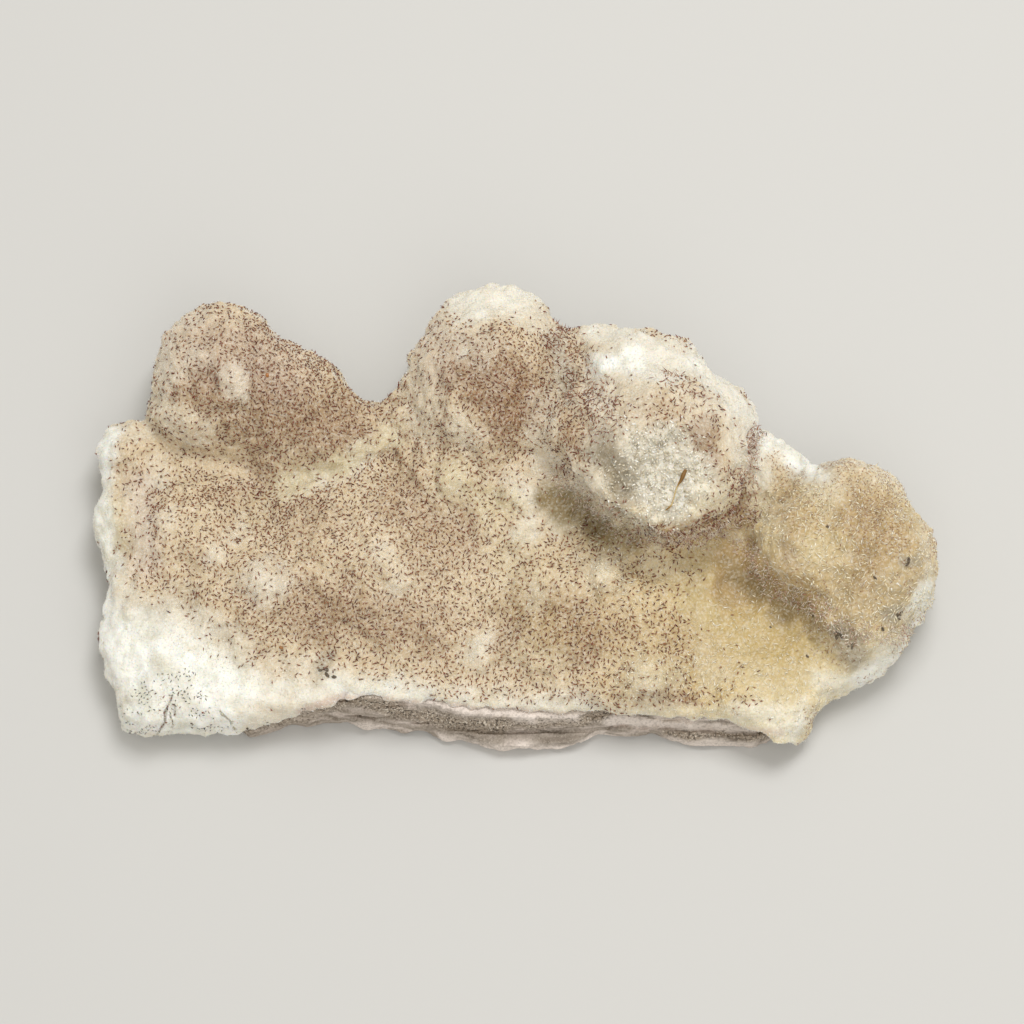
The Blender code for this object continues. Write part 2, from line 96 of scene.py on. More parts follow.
# Deep brown: partly the real darker stain, partly painted shade in hollows and creases and on slopes turned
# from the light.
DEEP_STAIN_AND_SHADE = (
    (-3.0, 2.8, -1.8, 1.8, 1.3, 0.3), (-33.5, 15.2, -31.5, 14.6, 1.3, 0.5),
    (-23.0, -12.4, -20.5, -13.2, 1.4, 0.4), (-36.6, 13.0, -31.4, 10.8, 1.6, 0.5),
    (-27.2, 13.6, -25.4, 12.6, 1.5, 0.65), (1.6, -11.8, -1.0, -13.8, 1.5, 0.5),
    (6.6, 8.6, 7.2, 6.8, 1.1, 0.6), (20.8, 8.8, 21.6, 5.4, 1.3, 0.8), (33.8, -12.0, 36.6, -13.6, 1.1, 0.5),
    (-27.0, 10.3, -17.5, 9.2, 3.0, 0.75), (-33.8, 14.2, -31.8, 13.0, 1.6, 0.7),
    (-18.6, 8.2, -15.6, 7.6, 1.3, 0.5), (-2.6, 14.0, -2.3, 8.8, 1.2, 0.5),
    (-32.6, 18.0, -28.0, 16.6, 2.4, 0.5), (-28.0, 16.6, -23.5, 13.6, 2.2, 0.5),
    (-26.6, 6.4, -26.0, 3.2, 1.5, 0.35), (-18.6, 12.1, -18.0, 12.1, 2.2, 0.4),
    (-4.0, 15.9, 0.3, 12.1, 3.2, 1.0), (-0.4, 12.3, 0.4, 10.0, 2.4, 0.7),
    (-26.5, -8.6, -9.0, -12.6, 3.0, 0.45), (-19.7, -10.0, -14.0, -12.0, 2.2, 0.3),
    (-28.3, 1.3, -20.7, -0.9, 2.7, 0.3), (5.2, -11.1, 8.0, -14.0, 2.6, 0.6),
    (0.1, -10.9, 0.2, -11.0, 1.8, 0.4), (-12.1, 1.3, -5.9, -2.3, 2.7, 0.45),
    (19.2, -13.8, 19.3, -13.8, 2.2, 0.3), (14.8, -20.5, 18.6, -20.4, 1.4, 0.8),
    (16.5, -2.0, 24.6, -0.3, 1.1, 0.9), (20.3, 8.9, 21.6, 4.5, 1.3, 0.9), (36.4, 0.2, 40.8, -3.0, 2.4, 0.4),
    (38.4, -0.6, 38.6, -7.2, 1.3, 0.75), (5.4, 10.4, 5.9, 7.0, 1.0, 0.5),
    (13.0, 11.2, 17.0, 10.6, 1.5, 0.4), (-10.0, -4.5, -7.5, -6.0, 1.8, 0.3),
    (28.9, -0.4, 30.4, -5.0, 1.4, 0.95), (38.6, -5.2, 38.8, -7.4, 1.5, 0.9),
    (36.0, -9.5, 37.5, -11.0, 1.6, 0.5), (4.2, 16.6, 4.4, 15.0, 1.2, 0.4),
    (38.7, -6.8, 41.9, -8.4, 1.9, 0.5),
)
WAXY_YELLOW = (
    (-24.0, 2.9, -18.6, 5.4, 1.4, 0.6), (-18.6, 5.4, -13.0, 8.4, 1.2, 0.6),
    (-6.7, 3.5, -1.3, 0.8, 1.9, 0.6), (-44.5, -0.9, -42.3, -3.6, 1.3, 0.5),
    (22.5, -9.5, 29.4, -14.6, 4.2, 1.0), (29.2, -18.4, 30.0, -20.5, 1.8, 0.25),
    (24.6, -5.2, 28.9, -9.5, 1.9, 1.0), (-26.5, 1.0, -28.3, -0.9, 1.3, 0.3),
    (5.2, 1.0, 11.7, -2.8, 1.7, 0.7), (0.9, -5.2, 3.0, -13.8, 3.2, 0.3), (20.3, -5.2, 21.9, -9.5, 2.2, 0.5),
    (32.2, -3.0, 33.3, -3.0, 2.6, 0.4), (-42.3, 1.3, -41.8, -3.0, 1.5, 0.5),
)
# Grey crystals, real on the slab, in the valleys and by the grains; at the dish's left side and along its
# upper rim the grey is painted shade.
GREY_CRYSTAL_AND_DISH_SHADE = (
    (-39.6, -11.4, -38.6, -15.2, 2.2, 0.45), (-37.0, -8.6, -34.5, -9.4, 1.2, 0.3),
    (-38.5, -12.6, -37.2, -14.0, 1.2, 0.22), (-33.5, -12.5, -31.5, -13.0, 1.0, 0.2),
    (10.0, 6.4, 12.4, 1.8, 1.9, 1.0), (4.8, 17.3, 6.5, 12.1, 1.3, 0.7), (31.1, 4.5, 34.1, 5.4, 1.3, 0.7),
    (36.0, -13.8, 37.2, -15.8, 1.4, 0.8), (42.4, -5.2, 42.9, -5.6, 0.6, 0.8),
    (35.0, -13.0, 35.4, -13.3, 0.8, 0.9), (41.1, -11.3, 41.5, -11.3, 1.1, 0.8),
    (-20.3, -17.4, -19.7, -15.9, 1.0, 0.8), (13.8, 6.7, 18.1, 7.8, 1.5, 0.35),
    (27.9, 3.5, 28.4, 1.3, 1.5, 0.15),
)
SNOW_WHITE = (
    (-44.5, 8.9, -44.5, -20.3, 1.5, 0.9), (-42.5, -13.0, -40.2, -20.3, 3.0, 0.9),
    (-39.1, -15.4, -31.5, -19.2, 3.7, 0.95), (-41.0, -22.4, -31.0, -23.6, 2.0, 0.9),
    (-30.5, -19.0, -9.9, -19.4, 1.5, 0.3), (-9.9, -19.4, 11.7, -21.2, 1.2, 0.3),
    (10.0, 16.0, 13.0, 16.6, 1.2, 1.0), (13.0, 16.6, 17.0, 15.4, 1.6, 0.4),
    (8.4, 20.2, 20.3, 17.0, 1.1, 0.35), (20.3, 17.0, 26.8, 9.4, 1.3, 0.5), (27.6, 8.6, 32.2, 5.4, 1.6, 1.0),
    (-5.4, 22.9, 1.4, 23.3, 1.9, 0.4), (44.6, -1.9, 45.4, -9.5, 0.9, 0.2),
    (44.8, -9.5, 43.4, -14.2, 1.3, 0.9), (25.0, -21.8, 30.8, -23.4, 1.6, 0.4),
    (43.0, -14.2, 37.6, -18.7, 1.4, 0.85), (26.8, 7.0, 27.2, 4.0, 1.1, 0.4),
    (33.4, -18.6, 37.6, -18.7, 1.1, 0.4), (31.6, -21.4, 30.8, -25.0, 0.8, 0.3),
    (15.4, 5.1, 20.3, 1.8, 3.0, 0.2),
)
OCHRE_TINT = (
    (30.0, 0.4, 31.4, -1.2, 1.6, 0.6), (37.3, -0.5, 40.8, -2.5, 3.2, 0.9),
    (34.0, -8.0, 40.3, -8.9, 3.5, 0.55), (24.1, -5.2, 31.1, -9.5, 2.2, 0.9),
    (13.8, -13.8, 20.3, -16.0, 3.2, 0.35), (9.5, -11.7, 5.2, -11.7, 3.2, 0.4),
    (17.0, -2.1, 24.6, -0.9, 1.1, 1.0), (22.8, -8.0, 29.4, -9.4, 1.7, 0.9),
    (1.0, -10.0, 3.2, -12.6, 2.0, 0.4), (37.8, -1.5, 38.4, -6.0, 1.6, 0.6),
    (44.0, -4.0, 44.2, -8.6, 1.0, 0.5),
)
# Painted shadow, olive brown, in the creases under the nose's lip and along the right knob's lower left edge.
OLIVE_PAINTED_SHADOW = (
    (2.8, 0.6, 4.6, -0.4, 1.0, 0.5), (10.2, 3.8, 11.0, 2.2, 0.9, 0.3), (4.2, 1.6, 8.4, -0.8, 1.6, 1.0),
    (7.8, -0.8, 12.6, -3.5, 1.2, 0.9), (24.4, -7.0, 29.8, -10.4, 1.5, 0.85),
    (30.0, -9.5, 33.6, -12.7, 1.0, 0.6), (32.8, -12.2, 36.4, -14.0, 0.8, 0.3),
)
ROSY_SEAM = (
    (-36.0, 18.5, -25.0, 16.5, 4.0, 0.3), (-40.4, 3.0, -39.6, -5.5, 1.8, 0.4),
    (-8.5, 19.0, -8.0, 15.0, 2.0, 0.3), (-22.9, -21.6, -18.0, -19.9, 0.4, 0.9),
    (-18.0, -19.9, -7.8, -21.0, 0.4, 0.8), (-7.8, -21.0, 8.4, -22.2, 0.4, 0.9),
    (8.4, -22.5, 19.2, -23.3, 0.4, 0.8), (19.2, -23.3, 28.9, -23.8, 0.4, 0.6),
)
CRACKS = (
    (-36.7, -19.8, -37.3, -21.4, 0.08, 0.8), (-37.3, -21.4, -37.5, -22.8, 0.09, 1.0),
    (-37.5, -22.8, -38.6, -24.4, 0.09, 1.0), (-36.5, -20.8, -36.4, -22.0, 0.06, 0.6),
    (-31.6, -21.5, -30.5, -22.6, 0.07, 0.9), (-30.5, -22.6, -29.7, -23.9, 0.07, 1.0),
    (-36.9, -21.9, -36.6, -23.0, 0.06, 0.5), (-36.6, -23.0, -37.3, -24.0, 0.06, 0.6),
)
MANY_DASHES = (
    (-41.2, -4.1, -38.3, 1.0, 0.7, 0.9), (-38.3, 1.0, -28.3, 2.7, 0.8, 0.9),
    (-28.3, 2.7, -25.4, 1.0, 0.8, 0.9), (-26.1, -3.8, -24.0, 0.5, 0.9, 1.0),
    (-24.0, 0.5, -20.4, 2.6, 0.9, 1.0), (-20.4, 2.6, -12.1, 6.5, 0.9, 1.0),
    (-7.1, 9.4, -7.1, 6.7, 0.7, 1.0), (-30.2, -8.6, -26.7, -12.4, 0.8, 0.4),
    (2.3, 13.4, 6.7, 5.6, 2.2, 0.15), (-26.7, 20.3, -20.3, 15.1, 1.4, 0.5),
    (-2.4, 20.0, 3.4, 17.8, 1.2, 0.5), (31.1, 1.0, 33.0, -1.6, 1.3, 0.7), (38.0, 1.4, 41.4, -2.3, 1.6, 0.4),
)
FEW_DASHES = (
    (17.0, 13.5, 22.0, 8.0, 2.6, 0.45), (14.0, -0.5, 19.0, -0.8, 1.3, 0.6),
    (-40.7, 8.3, -29.4, 4.6, 1.9, 0.4), (-2.9, 21.5, 3.4, 20.6, 1.3, 0.6),
    (28.5, -4.2, 40.7, -10.0, 6.5, 0.9), (29.5, 1.0, 30.0, -3.0, 2.4, 0.6),
    (35.4, 3.5, 38.7, 4.5, 1.6, 0.7), (43.5, -0.9, 45.1, -9.5, 1.6, 0.9),
    (12.7, 14.3, 14.4, 12.4, 2.2, 0.7), (24.1, 8.9, 25.2, 4.5, 1.4, 0.7),
    (-43.4, 7.8, -41.3, -5.2, 1.9, 0.55), (20.3, -9.5, 22.5, -20.3, 2.2, 0.6),
    (-34.8, 19.4, -29.4, 18.0, 2.2, 0.35), (5.2, -9.5, 20.3, -8.4, 1.9, 0.45),
    (27.3, -1.9, 31.1, 1.3, 1.9, 0.5),
)
GREY_PEPPER = (
    (-40.7, -20.6, -39.5, -23.4, 1.1, 1.0), (-36.2, -19.6, -34.0, -21.4, 1.2, 1.0),
    (-34.0, -21.4, -32.2, -23.4, 1.1, 0.9), (-38.4, -18.8, -36.0, -18.6, 0.8, 0.5),
    (-26.0, -23.0, -23.0, -22.0, 0.6, 0.7),
)
LONG_RED = (
    (25.5, 8.6, 25.9, 4.5, 0.4, 1.0), (24.6, 3.5, 25.7, -0.9, 0.8, 1.0), (19.2, -1.9, 24.1, -0.9, 0.8, 0.9),
    (13.8, -1.9, 19.2, -2.8, 0.8, 0.7), (5.5, 18.0, 9.5, 9.9, 1.5, 0.7), (6.8, 12.1, 9.5, 10.8, 1.1, 0.6),
    (17.6, 13.7, 20.3, 11.0, 1.5, 0.2), (25.9, 8.0, 26.2, 5.4, 0.5, 1.0),
)
# Places of long pale spines, and lips where a lobe hangs over its neighbour, with a fringe.
SPINES = (
    (31.0, -1.0, 37.5, -9.5, 3.2, 0.9), (37.5, -9.5, 43.5, -12.0, 2.6, 1.0),
    (24.0, -11.5, 31.0, -20.0, 3.0, 0.15), (38.0, 2.0, 43.0, -4.0, 3.0, 0.15),
    (8.0, -4.5, 14.0, -8.0, 2.5, 0.3), (14.0, -17.0, 22.0, -18.5, 2.5, 0.4),
)
FRINGE = (
    (4.9, 4.2, 8.9, 0.6, 0.8, 1.0), (8.9, 0.6, 13.8, -2.6, 0.8, 1.0), (13.8, -2.6, 21.0, -3.0, 0.7, 0.9),
    (21.0, -3.0, 25.6, 0.0, 0.7, 0.9), (25.6, 0.0, 26.2, 7.6, 0.5, 0.8), (25.0, -3.6, 28.0, -8.0, 0.8, 0.8),
    (28.0, -8.0, 33.6, -10.6, 0.8, 0.8), (33.6, -10.6, 36.8, -13.3, 0.8, 0.8),
    (36.8, -13.3, 42.0, -13.2, 0.8, 0.6),
)
# Sculpting strokes in the same measure, which stand out or sink by these heights and depths.
MOUND_HEIGHT = 1.2
CREASE_DEPTH = 1.7
DISH_CRYSTAL_HEIGHT = 0.7
CRACK_DEPTH = 0.35
MOUNDS = (
    (-37.6, 10.4, -35.2, 9.2, 1.3, 0.7), (-26.7, -7.3, -26.6, -7.3, 1.7, 0.6),
    (-13.7, -5.2, -13.6, -5.2, 1.7, 0.5), (-2.9, -13.8, -3.0, -15.4, 1.5, 0.5),
    (0.9, 2.4, 1.0, 2.4, 1.9, 0.6), (10.0, -6.8, 10.2, -6.8, 1.5, 0.6),
    (14.9, -17.9, 15.0, -17.9, 1.9, 0.6), (-29.7, 15.1, -29.7, 13.4, 1.3, 0.5),
    (-35.9, 15.9, -31.0, 17.3, 1.1, 0.3), (-6.5, 3.2, -6.4, 3.2, 1.3, 0.4),
    (-12.1, -7.3, -12.0, -7.3, 1.3, 0.3), (-7.8, -13.8, -7.7, -13.8, 1.5, 0.3),
    (5.2, -8.4, 5.3, -8.4, 1.5, 0.3), (-37.3, -0.5, -37.2, -0.6, 1.5, 0.4),
    (-32.4, -4.1, -32.3, -4.2, 1.6, 0.5), (6.9, 4.8, 9.6, 1.8, 1.2, 0.7), (9.6, 1.8, 14.5, -1.2, 1.2, 0.7),
    (14.5, -2.4, 21.0, -2.8, 1.2, 0.6), (24.6, -20.5, 27.8, -22.9, 2.2, 0.6),
    (-14.6, 1.8, -14.5, 1.7, 2.2, 0.4), (-9.7, -4.2, -9.6, -4.3, 1.6, 0.35),
    (-20.0, -3.6, -19.9, -3.7, 1.8, 0.4), (-5.9, 9.2, -3.0, 8.0, 1.8, 0.4),
)
CREASES = (
    (10.6, 4.8, 11.8, 2.4, 1.4, 0.8), (38.7, 0.0, 37.6, -4.1, 1.6, 0.6), (37.6, -4.1, 35.2, -8.2, 1.6, 0.5),
    (6.8, 18.0, 8.4, 12.6, 1.1, 0.4), (5.0, 2.6, 8.6, -0.4, 1.2, 1.0), (8.6, -0.4, 13.6, -3.0, 1.2, 1.0),
    (24.8, -7.8, 30.0, -10.8, 2.2, 0.9), (30.0, -10.8, 33.4, -14.4, 1.8, 0.7),
    (24.8, -2.4, 27.5, -7.0, 1.2, 0.7), (27.5, -7.0, 33.3, -9.9, 1.0, 0.4),
    (33.3, -9.9, 35.6, -13.0, 1.2, 0.5), (29.4, -22.9, 30.0, -24.5, 1.8, 0.4),
)
# Where the lobe of the nose runs into the ridge behind it without a step.
EASED = (
    (6.3, 13.2, 16.0, 15.9, 3.0, 1.0), (16.0, 15.9, 24.6, 10.0, 2.6, 1.0), (25.2, 8.9, 26.8, 3.5, 2.0, 0.6),
    (-1.3, 8.6, 5.2, 7.8, 2.4, 0.8), (26.7, -16.0, 30.0, -22.7, 3.4, 1.0),
)
# Where the crystals stand up in the dish.
DISH_CRYSTALS = ((15.4, 4.2, 17.6, 3.4, 4.4, 1.0),)
# The wall under the nose's lip draws back by so much, and the lip above it by a little.
UNDERCUT = (
    (4.6, 4.6, 8.6, 0.2, 2.2, 1.0), (8.6, 0.2, 13.6, -3.2, 2.2, 1.0), (13.6, -3.2, 21.0, -3.6, 1.6, 0.4),
)
UNDERCUT_DEPTH = 2.4
LIP_BACK = 0.5
# Heights between which the wall begins, the wall ends and the lip begins.
WALL_BEGINS = (9.2, 12.0)
WALL_ENDS = (18.0, 15.0)
LIP_BEGINS = (16.5, 18.0)
# On the rock: pale pink-white plates and seams, and the darkest glittering band.
PALE_PLATES = (
    (-7.8, -24.8, -1.3, -25.9, 0.6, 1.0), (-1.3, -26.0, 5.7, -25.9, 0.8, 1.0),
    (5.7, -25.7, 9.7, -24.4, 0.5, 1.0), (-18.0, -23.3, -13.7, -23.3, 0.4, 0.9),
    (18.6, -25.1, 28.7, -25.4, 0.5, 0.8), (10.0, -24.6, 18.1, -24.9, 0.4, 0.6),
    (-11.0, -20.4, -5.0, -21.0, 0.5, 0.8), (-5.0, -21.1, 2.0, -21.8, 0.7, 0.9),
    (2.0, -21.8, 7.0, -22.0, 0.6, 0.9), (10.5, -22.5, 19.2, -23.0, 0.6, 0.9),
    (19.2, -23.1, 26.8, -23.3, 0.4, 0.7),
)
DARK_BAND = (
    (-28.5, -23.6, -24.0, -22.6, 0.4, 0.5), (-24.0, -22.6, -18.5, -20.8, 0.5, 0.6),
    (-21.0, -20.9, -17.5, -20.2, 0.4, 0.7), (-17.5, -20.2, -13.0, -21.2, 0.6, 1.0),
    (-13.0, -21.4, -7.0, -22.6, 0.7, 1.0), (-7.0, -22.7, -1.0, -23.3, 0.7, 1.0),
    (-1.0, -23.1, 7.5, -22.7, 0.45, 0.75), (7.5, -22.4, 10.0, -21.7, 0.5, 1.0),
    (16.5, -24.0, 27.2, -24.1, 0.3, 0.9),
)
# Grains: where the photograph shows them, their width, their colour, and how many bits.
GRAINS = (
    (-26.4, 14.7, 0.55, "#C9792B", 1), (-24.9, -14.6, 0.5, "#B9772F", 1), (-22.4, 5.1, 0.35, "#2A211A", 1),
    (-19.9, -17.6, 0.7, "#4A453B", 3), (-20.6, -17.1, 0.45, "#5B5547", 3), (42.7, -5.4, 0.5, "#3B342B", 4),
    (39.4, -7.1, 0.45, "#2F2822", 1), (41.6, -11.2, 0.5, "#4B463C", 4), (40.0, -12.7, 0.5, "#332D26", 1),
    (35.2, -13.2, 0.6, "#4A4233", 5), (32.5, -11.3, 0.35, "#4B4233", 1), (31.9, -15.7, 0.4, "#3A3228", 1),
    (27.8, -12.5, 0.3, "#4A4030", 1), (-38.0, 3.9, 0.35, "#7A5630", 1), (34.1, -1.5, 0.35, "#4A3A28", 1),
    (36.6, -14.6, 0.35, "#6F6A5E", 5), (-34.6, -22.9, 0.3, "#5B5547", 3), (-28.6, -23.6, 0.35, "#4F4A40", 2),
)
# The fibre lying in the dish, from its thick brown end to its thin one: across, up, width.
FIBRE = (
    (18.9, 4.3, 0.34), (18.5, 3.9, 0.5), (18.1, 3.3, 0.36), (17.9, 2.7, 0.14), (17.7, 1.9, 0.10),
    (17.4, 1.0, 0.10), (17.1, 0.4, 0.22), (16.8, 0.1, 0.12),
)
# The middle of the dish in the nose, how far its crystals reach, and how high it lies.
DISH_MIDDLE = (15.9, 4.0)
DISH_REACH = 6.2
DISH_ABOVE = 12.0
DISH_FADES_IN = (10.0, 13.0)
# The middle of the nose on the plan.
NOSE_MIDDLE = (15.6, 0.8)
# The rosy stain turns yellower from left to right and downwards between these places.
WARMTH_FROM_TO = (0.0, 26.0)
WARMTH_DOWN = (7.0, -1.0)
# The right knob begins between these places.
KNOB_FROM_TO = (26.5, 29.0)
# How fine the two meshes are, and the widths and heights of what shapes their skins.
CRUST_GRID = 0.375
ROCK_GRID = 0.3
BUD_WIDTH = 2.6
BUD_HEIGHT = 0.6
KNOBBLE_WIDTH = 1.3
FINE_KNOBBLE_WIDTH = 0.7
CRACK_REACH = 0.35
LAYER_THICKNESS = 0.55
LAYER_DEPTH = 0.35
CHIP_WIDTH = 0.9
CHIP_HEIGHT = 0.12
FIBRE_LIFT = 0.45
# Finishes that lie only where the crust doesn't face down, with their strokes: real colours, the painted
# olive shadow, and painted shade within the deep brown and the grey.
UPPER_FINISHES = {
    "deep_stain_and_shade": DEEP_STAIN_AND_SHADE,
    "yellow": WAXY_YELLOW,
    "grey_and_dish_shade": GREY_CRYSTAL_AND_DISH_SHADE,
    "ochre": OCHRE_TINT,
    "olive_painted_shadow": OLIVE_PAINTED_SHADOW,
    "pepper": GREY_PEPPER,
    "long_red": LONG_RED,
}
# Colours of the needles, from a share of them to their colour.
STAINED = ((0.0, "#5A2A1C"), (0.3, "#74382A"), (0.55, "#8E4F3C"), (0.8, "#A27352"), (1.0, "#663A2C"))
RED = ((0.0, "#6B3C2F"), (0.4, "#8A5443"), (0.7, "#A9765E"), (1.0, "#D9C0A8"))
LIP = ((0.0, "#C9A18C"), (0.35, "#EAD6C2"), (0.7, "#FBF3E4"), (1.0, "#A8745E"))
ROSY = ((0.0, "#8C5E48"), (0.5, "#A87C60"), (1.0, "#B98F70"))
PEPPER = ((0.0, "#4F4B44"), (0.5, "#807B70"), (1.0, "#36322C"))
CREAM = ((0.0, "#EBDFC9"), (0.4, "#D3C1A4"), (0.7, "#E2D3B8"), (1.0, "#FAF4E6"))
WHITE = ((0.0, "#F4F4EC"), (0.5, "#E8E5D6"), (1.0, "#FFFFFF"))
SPINE = ((0.0, "#FFF6DC"), (0.4, "#EADBB4"), (0.7, "#F8EBC9"), (1.0, "#FFFBEC"))
BLOCK = ((0.0, "#F1EBD8"), (0.3, "#C0B69F"), (0.55, "#DCD3BC"), (0.8, "#EFE8D6"), (1.0, "#FFFCF2"))
FIBRE_BROWNS = ((0.0, "#C8AE74"), (0.6, "#93702F"), (1.0, "#7A5622"))
# Coats of clean needles: how many are tried, the least gap between two, how far they lean in
# degrees, their lengths, thickness, colours, seed and number of sides. The real needles are
# finer and closer together than the render can show, so these are as thick as they need to be.
COATS = {
    "long_red_needles": (2600, 0.36, (25.0, 85.0), (0.55, 1.0), 0.19, RED, 61, 3),
    "lip_fringe": (5200, 0.27, (10.0, 70.0), (0.4, 0.85), 0.19, LIP, 81, 3),
    "rosy_needles": (2600, 0.26, (55.0, 90.0), (0.25, 0.45), 0.13, ROSY, 91, 3),
    "grey_pepper": (420, 0.34, (60.0, 90.0), (0.18, 0.4), 0.18, PEPPER, 71, 3),
    "cream_nap": (34000, 0.26, (35.0, 88.0), (0.22, 0.42), 0.09, CREAM, 21, 3),
    "white_frost": (26000, 0.28, (10.0, 80.0), (0.2, 0.42), 0.11, WHITE, 31, 3),
    "knob_spines": (2700, 0.4, (45.0, 88.0), (0.5, 0.9), 0.21, SPINE, 41, 3),
    "dish_crystals": (2200, 0.32, (10.0, 85.0), (0.3, 0.75), 0.3, BLOCK, 51, 4),
}


def only(piece):
    """Makes a piece the one that Blender's tools work on."""
    bpy.ops.object.select_all(action="DESELECT")
    piece.select_set(True)
    bpy.context.view_layer.objects.active = piece


def apply(piece, kind, **settings):
    """Adds a modifier with its settings and applies it."""
    only(piece)
    modifier = piece.modifiers.new(kind.lower(), kind)
    for setting, value in settings.items():
        setattr(modifier, setting, value)
    bpy.ops.object.modifier_apply(modifier=modifier.name)


def soften(piece, times, **where):
    """Rounds off a piece's skin, so many times over."""
    apply(piece, "SMOOTH", factor=0.5, iterations=times, **where)


def hexed(code):
    """A linear colour from its sRGB hex code."""
    shares = [int(code[i:i + 2], 16) / 255.0 for i in (1, 3, 5)]
    return tuple(s / 12.92 if s < 0.04045 else ((s + 0.055) / 1.055) ** 2.4 for s in shares) + (1.0,)


def new_material(name):
    """A new material, its node tree and its surface."""
    material = bpy.data.materials.new(name)
    material.use_nodes = True
    return material, material.node_tree, material.node_tree.nodes["Principled BSDF"]


def set_inputs(made, values):
    """Gives a node's inputs their values."""
    for name, value in values.items():
        made.inputs[name].default_value = value


def node(tree, kind, settings, sockets):
    """Adds a node with its settings; each input is a value or another node's output."""
    made = tree.nodes.new(kind)
    for name, value in settings.items():
        setattr(made, name, value)
    for name, value in sockets.items():
        if isinstance(value, bpy.types.NodeSocket):
            tree.links.new(value, made.inputs[name])
        else:
            made.inputs[name].default_value = value
    return made


def speckle(tree, where, size, detail, low, high, strength):
    """Noise with features of a given size in millimetres, as a share: none where it is at
    the first limit, full strength where it is at the second."""
    settings = {"Scale": 1.0 / (size * MM), "Detail": detail, "Vector": where}
    noisy = node(tree, "ShaderNodeTexNoise", {}, settings).outputs["Fac"]
    limits = {"Value": noisy, "From Min": low, "From Max": high, "To Max": strength}
    return node(tree, "ShaderNodeMapRange", {}, limits).outputs["Result"]


def lay_finishes(tree, colour, finishes):
    """Lays finishes over a colour, one after the other. Each has its share of the skin, as
    the name of a painted value or as a node's output, and its own colour."""
    for share, over in finishes:
        if isinstance(share, str):
            share = node(tree, "ShaderNodeAttribute", {"attribute_name": share}, {}).outputs["Fac"]
        over = hexed(over) if isinstance(over, str) else over
        sockets = {"Fac": share, "Color1": colour, "Color2": over}
        colour = node(tree, "ShaderNodeMixRGB", {}, sockets).outputs["Color"]
    return colour


def smooth(low, high, values):
    """0 at low, 1 at high, with soft ends."""
    share = np.clip((values - low) / (high - low), 0.0, 1.0)
    return share * share * (3.0 - 2.0 * share)


def points_of(piece):
    """Every corner of a piece, in millimetres."""
    places = np.empty(len(piece.data.vertices) * 3)
    piece.data.vertices.foreach_get("co", places)
    return places.reshape(-1, 3) / MM


def directions_of(piece):
    """The outward direction at every corner of a piece."""
    ways = np.empty(len(piece.data.vertices) * 3)
    piece.data.vertex_normals.foreach_get("vector", ways)
    return ways.reshape(-1, 3)


def move_points(piece, places):
    piece.data.vertices.foreach_set("co", (places * MM).ravel())
    piece.data.update()


def seen(places):
    """Where places lie in the photograph, across and up from its middle in millimetres."""
    x, y, z = (places - VIEW_MIDDLE).T
    sine, cosine = math.sin(VIEW_TILT), math.cos(VIEW_TILT)
    nearer = VIEW_DISTANCE / (VIEW_DISTANCE + y * cosine - z * sine)
    return np.stack((x * nearer, (y * sine + z * cosine) * nearer), axis=1)


def cloud(places, size, shift):
    """Soft random values from about -1 to 1, in lumps of a given size. A shift gives others."""
    return np.array([noise.noise(Vector(place) / size + Vector((shift, 0.0, 0.0))) for place in places])


def painted(flat, strokes):
    """How strongly soft-edged strokes cover each place, from 0 to 1."""
    left = np.ones(len(flat))
    for u0, v0, u1, v1, reach, strength in strokes:
        start = np.array((u0, v0))
        along = np.array((u1 - u0, v1 - v0))
        share = np.clip((flat - start) @ along / max(along @ along, 0.001), 0.0, 1.0)
        away = np.linalg.norm(flat - start - share[:, None] * along, axis=1) / reach
        left *= 1.0 - strength * smooth(1.7, 0.3, away)
    return 1.0 - left


def keep_values(piece, name, values):
    """Stores a value for every corner, which the materials read by name."""
    kept = piece.data.attributes.new(name, "FLOAT", "POINT")
    kept.data.foreach_set("value", values.astype(np.float32))


def values_of(piece, name):
    found = np.empty(len(piece.data.vertices), np.float32)
    piece.data.attributes[name].data.foreach_get("value", found)
    return found


def copy_of_solid(name, node_name):
    """A piece of its own in the shape of a solid, with its loose triangles merged."""
    piece = bpy.data.objects.new(name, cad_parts[node_name].data.copy())
    bpy.context.scene.collection.objects.link(piece)
    piece.data.materials.clear()
    only(piece)
    bpy.ops.object.mode_set(mode="EDIT")
    bpy.ops.mesh.select_all(action="SELECT")
    bpy.ops.mesh.remove_doubles(threshold=0.00001)
    bpy.ops.object.mode_set(mode="OBJECT")
    return piece


def finish_piece(piece, material, node_name=None):
    """Gives a piece its material, hangs it on the root body and hides the solid it stands in for, if one is
    named.
    """
    piece.data.materials.append(material)
    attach(piece, "root")
    if node_name:
        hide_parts(node_name)


def pattern(name, kind, size, **settings):
    """A procedural pattern for sculpting, with features of a given size."""
    made = bpy.data.textures.new(name, kind)
    made.noise_scale = size * MM
    for setting, value in settings.items():
        setattr(made, setting, value)
    return made


# The crust: its skin, its paint and its material.


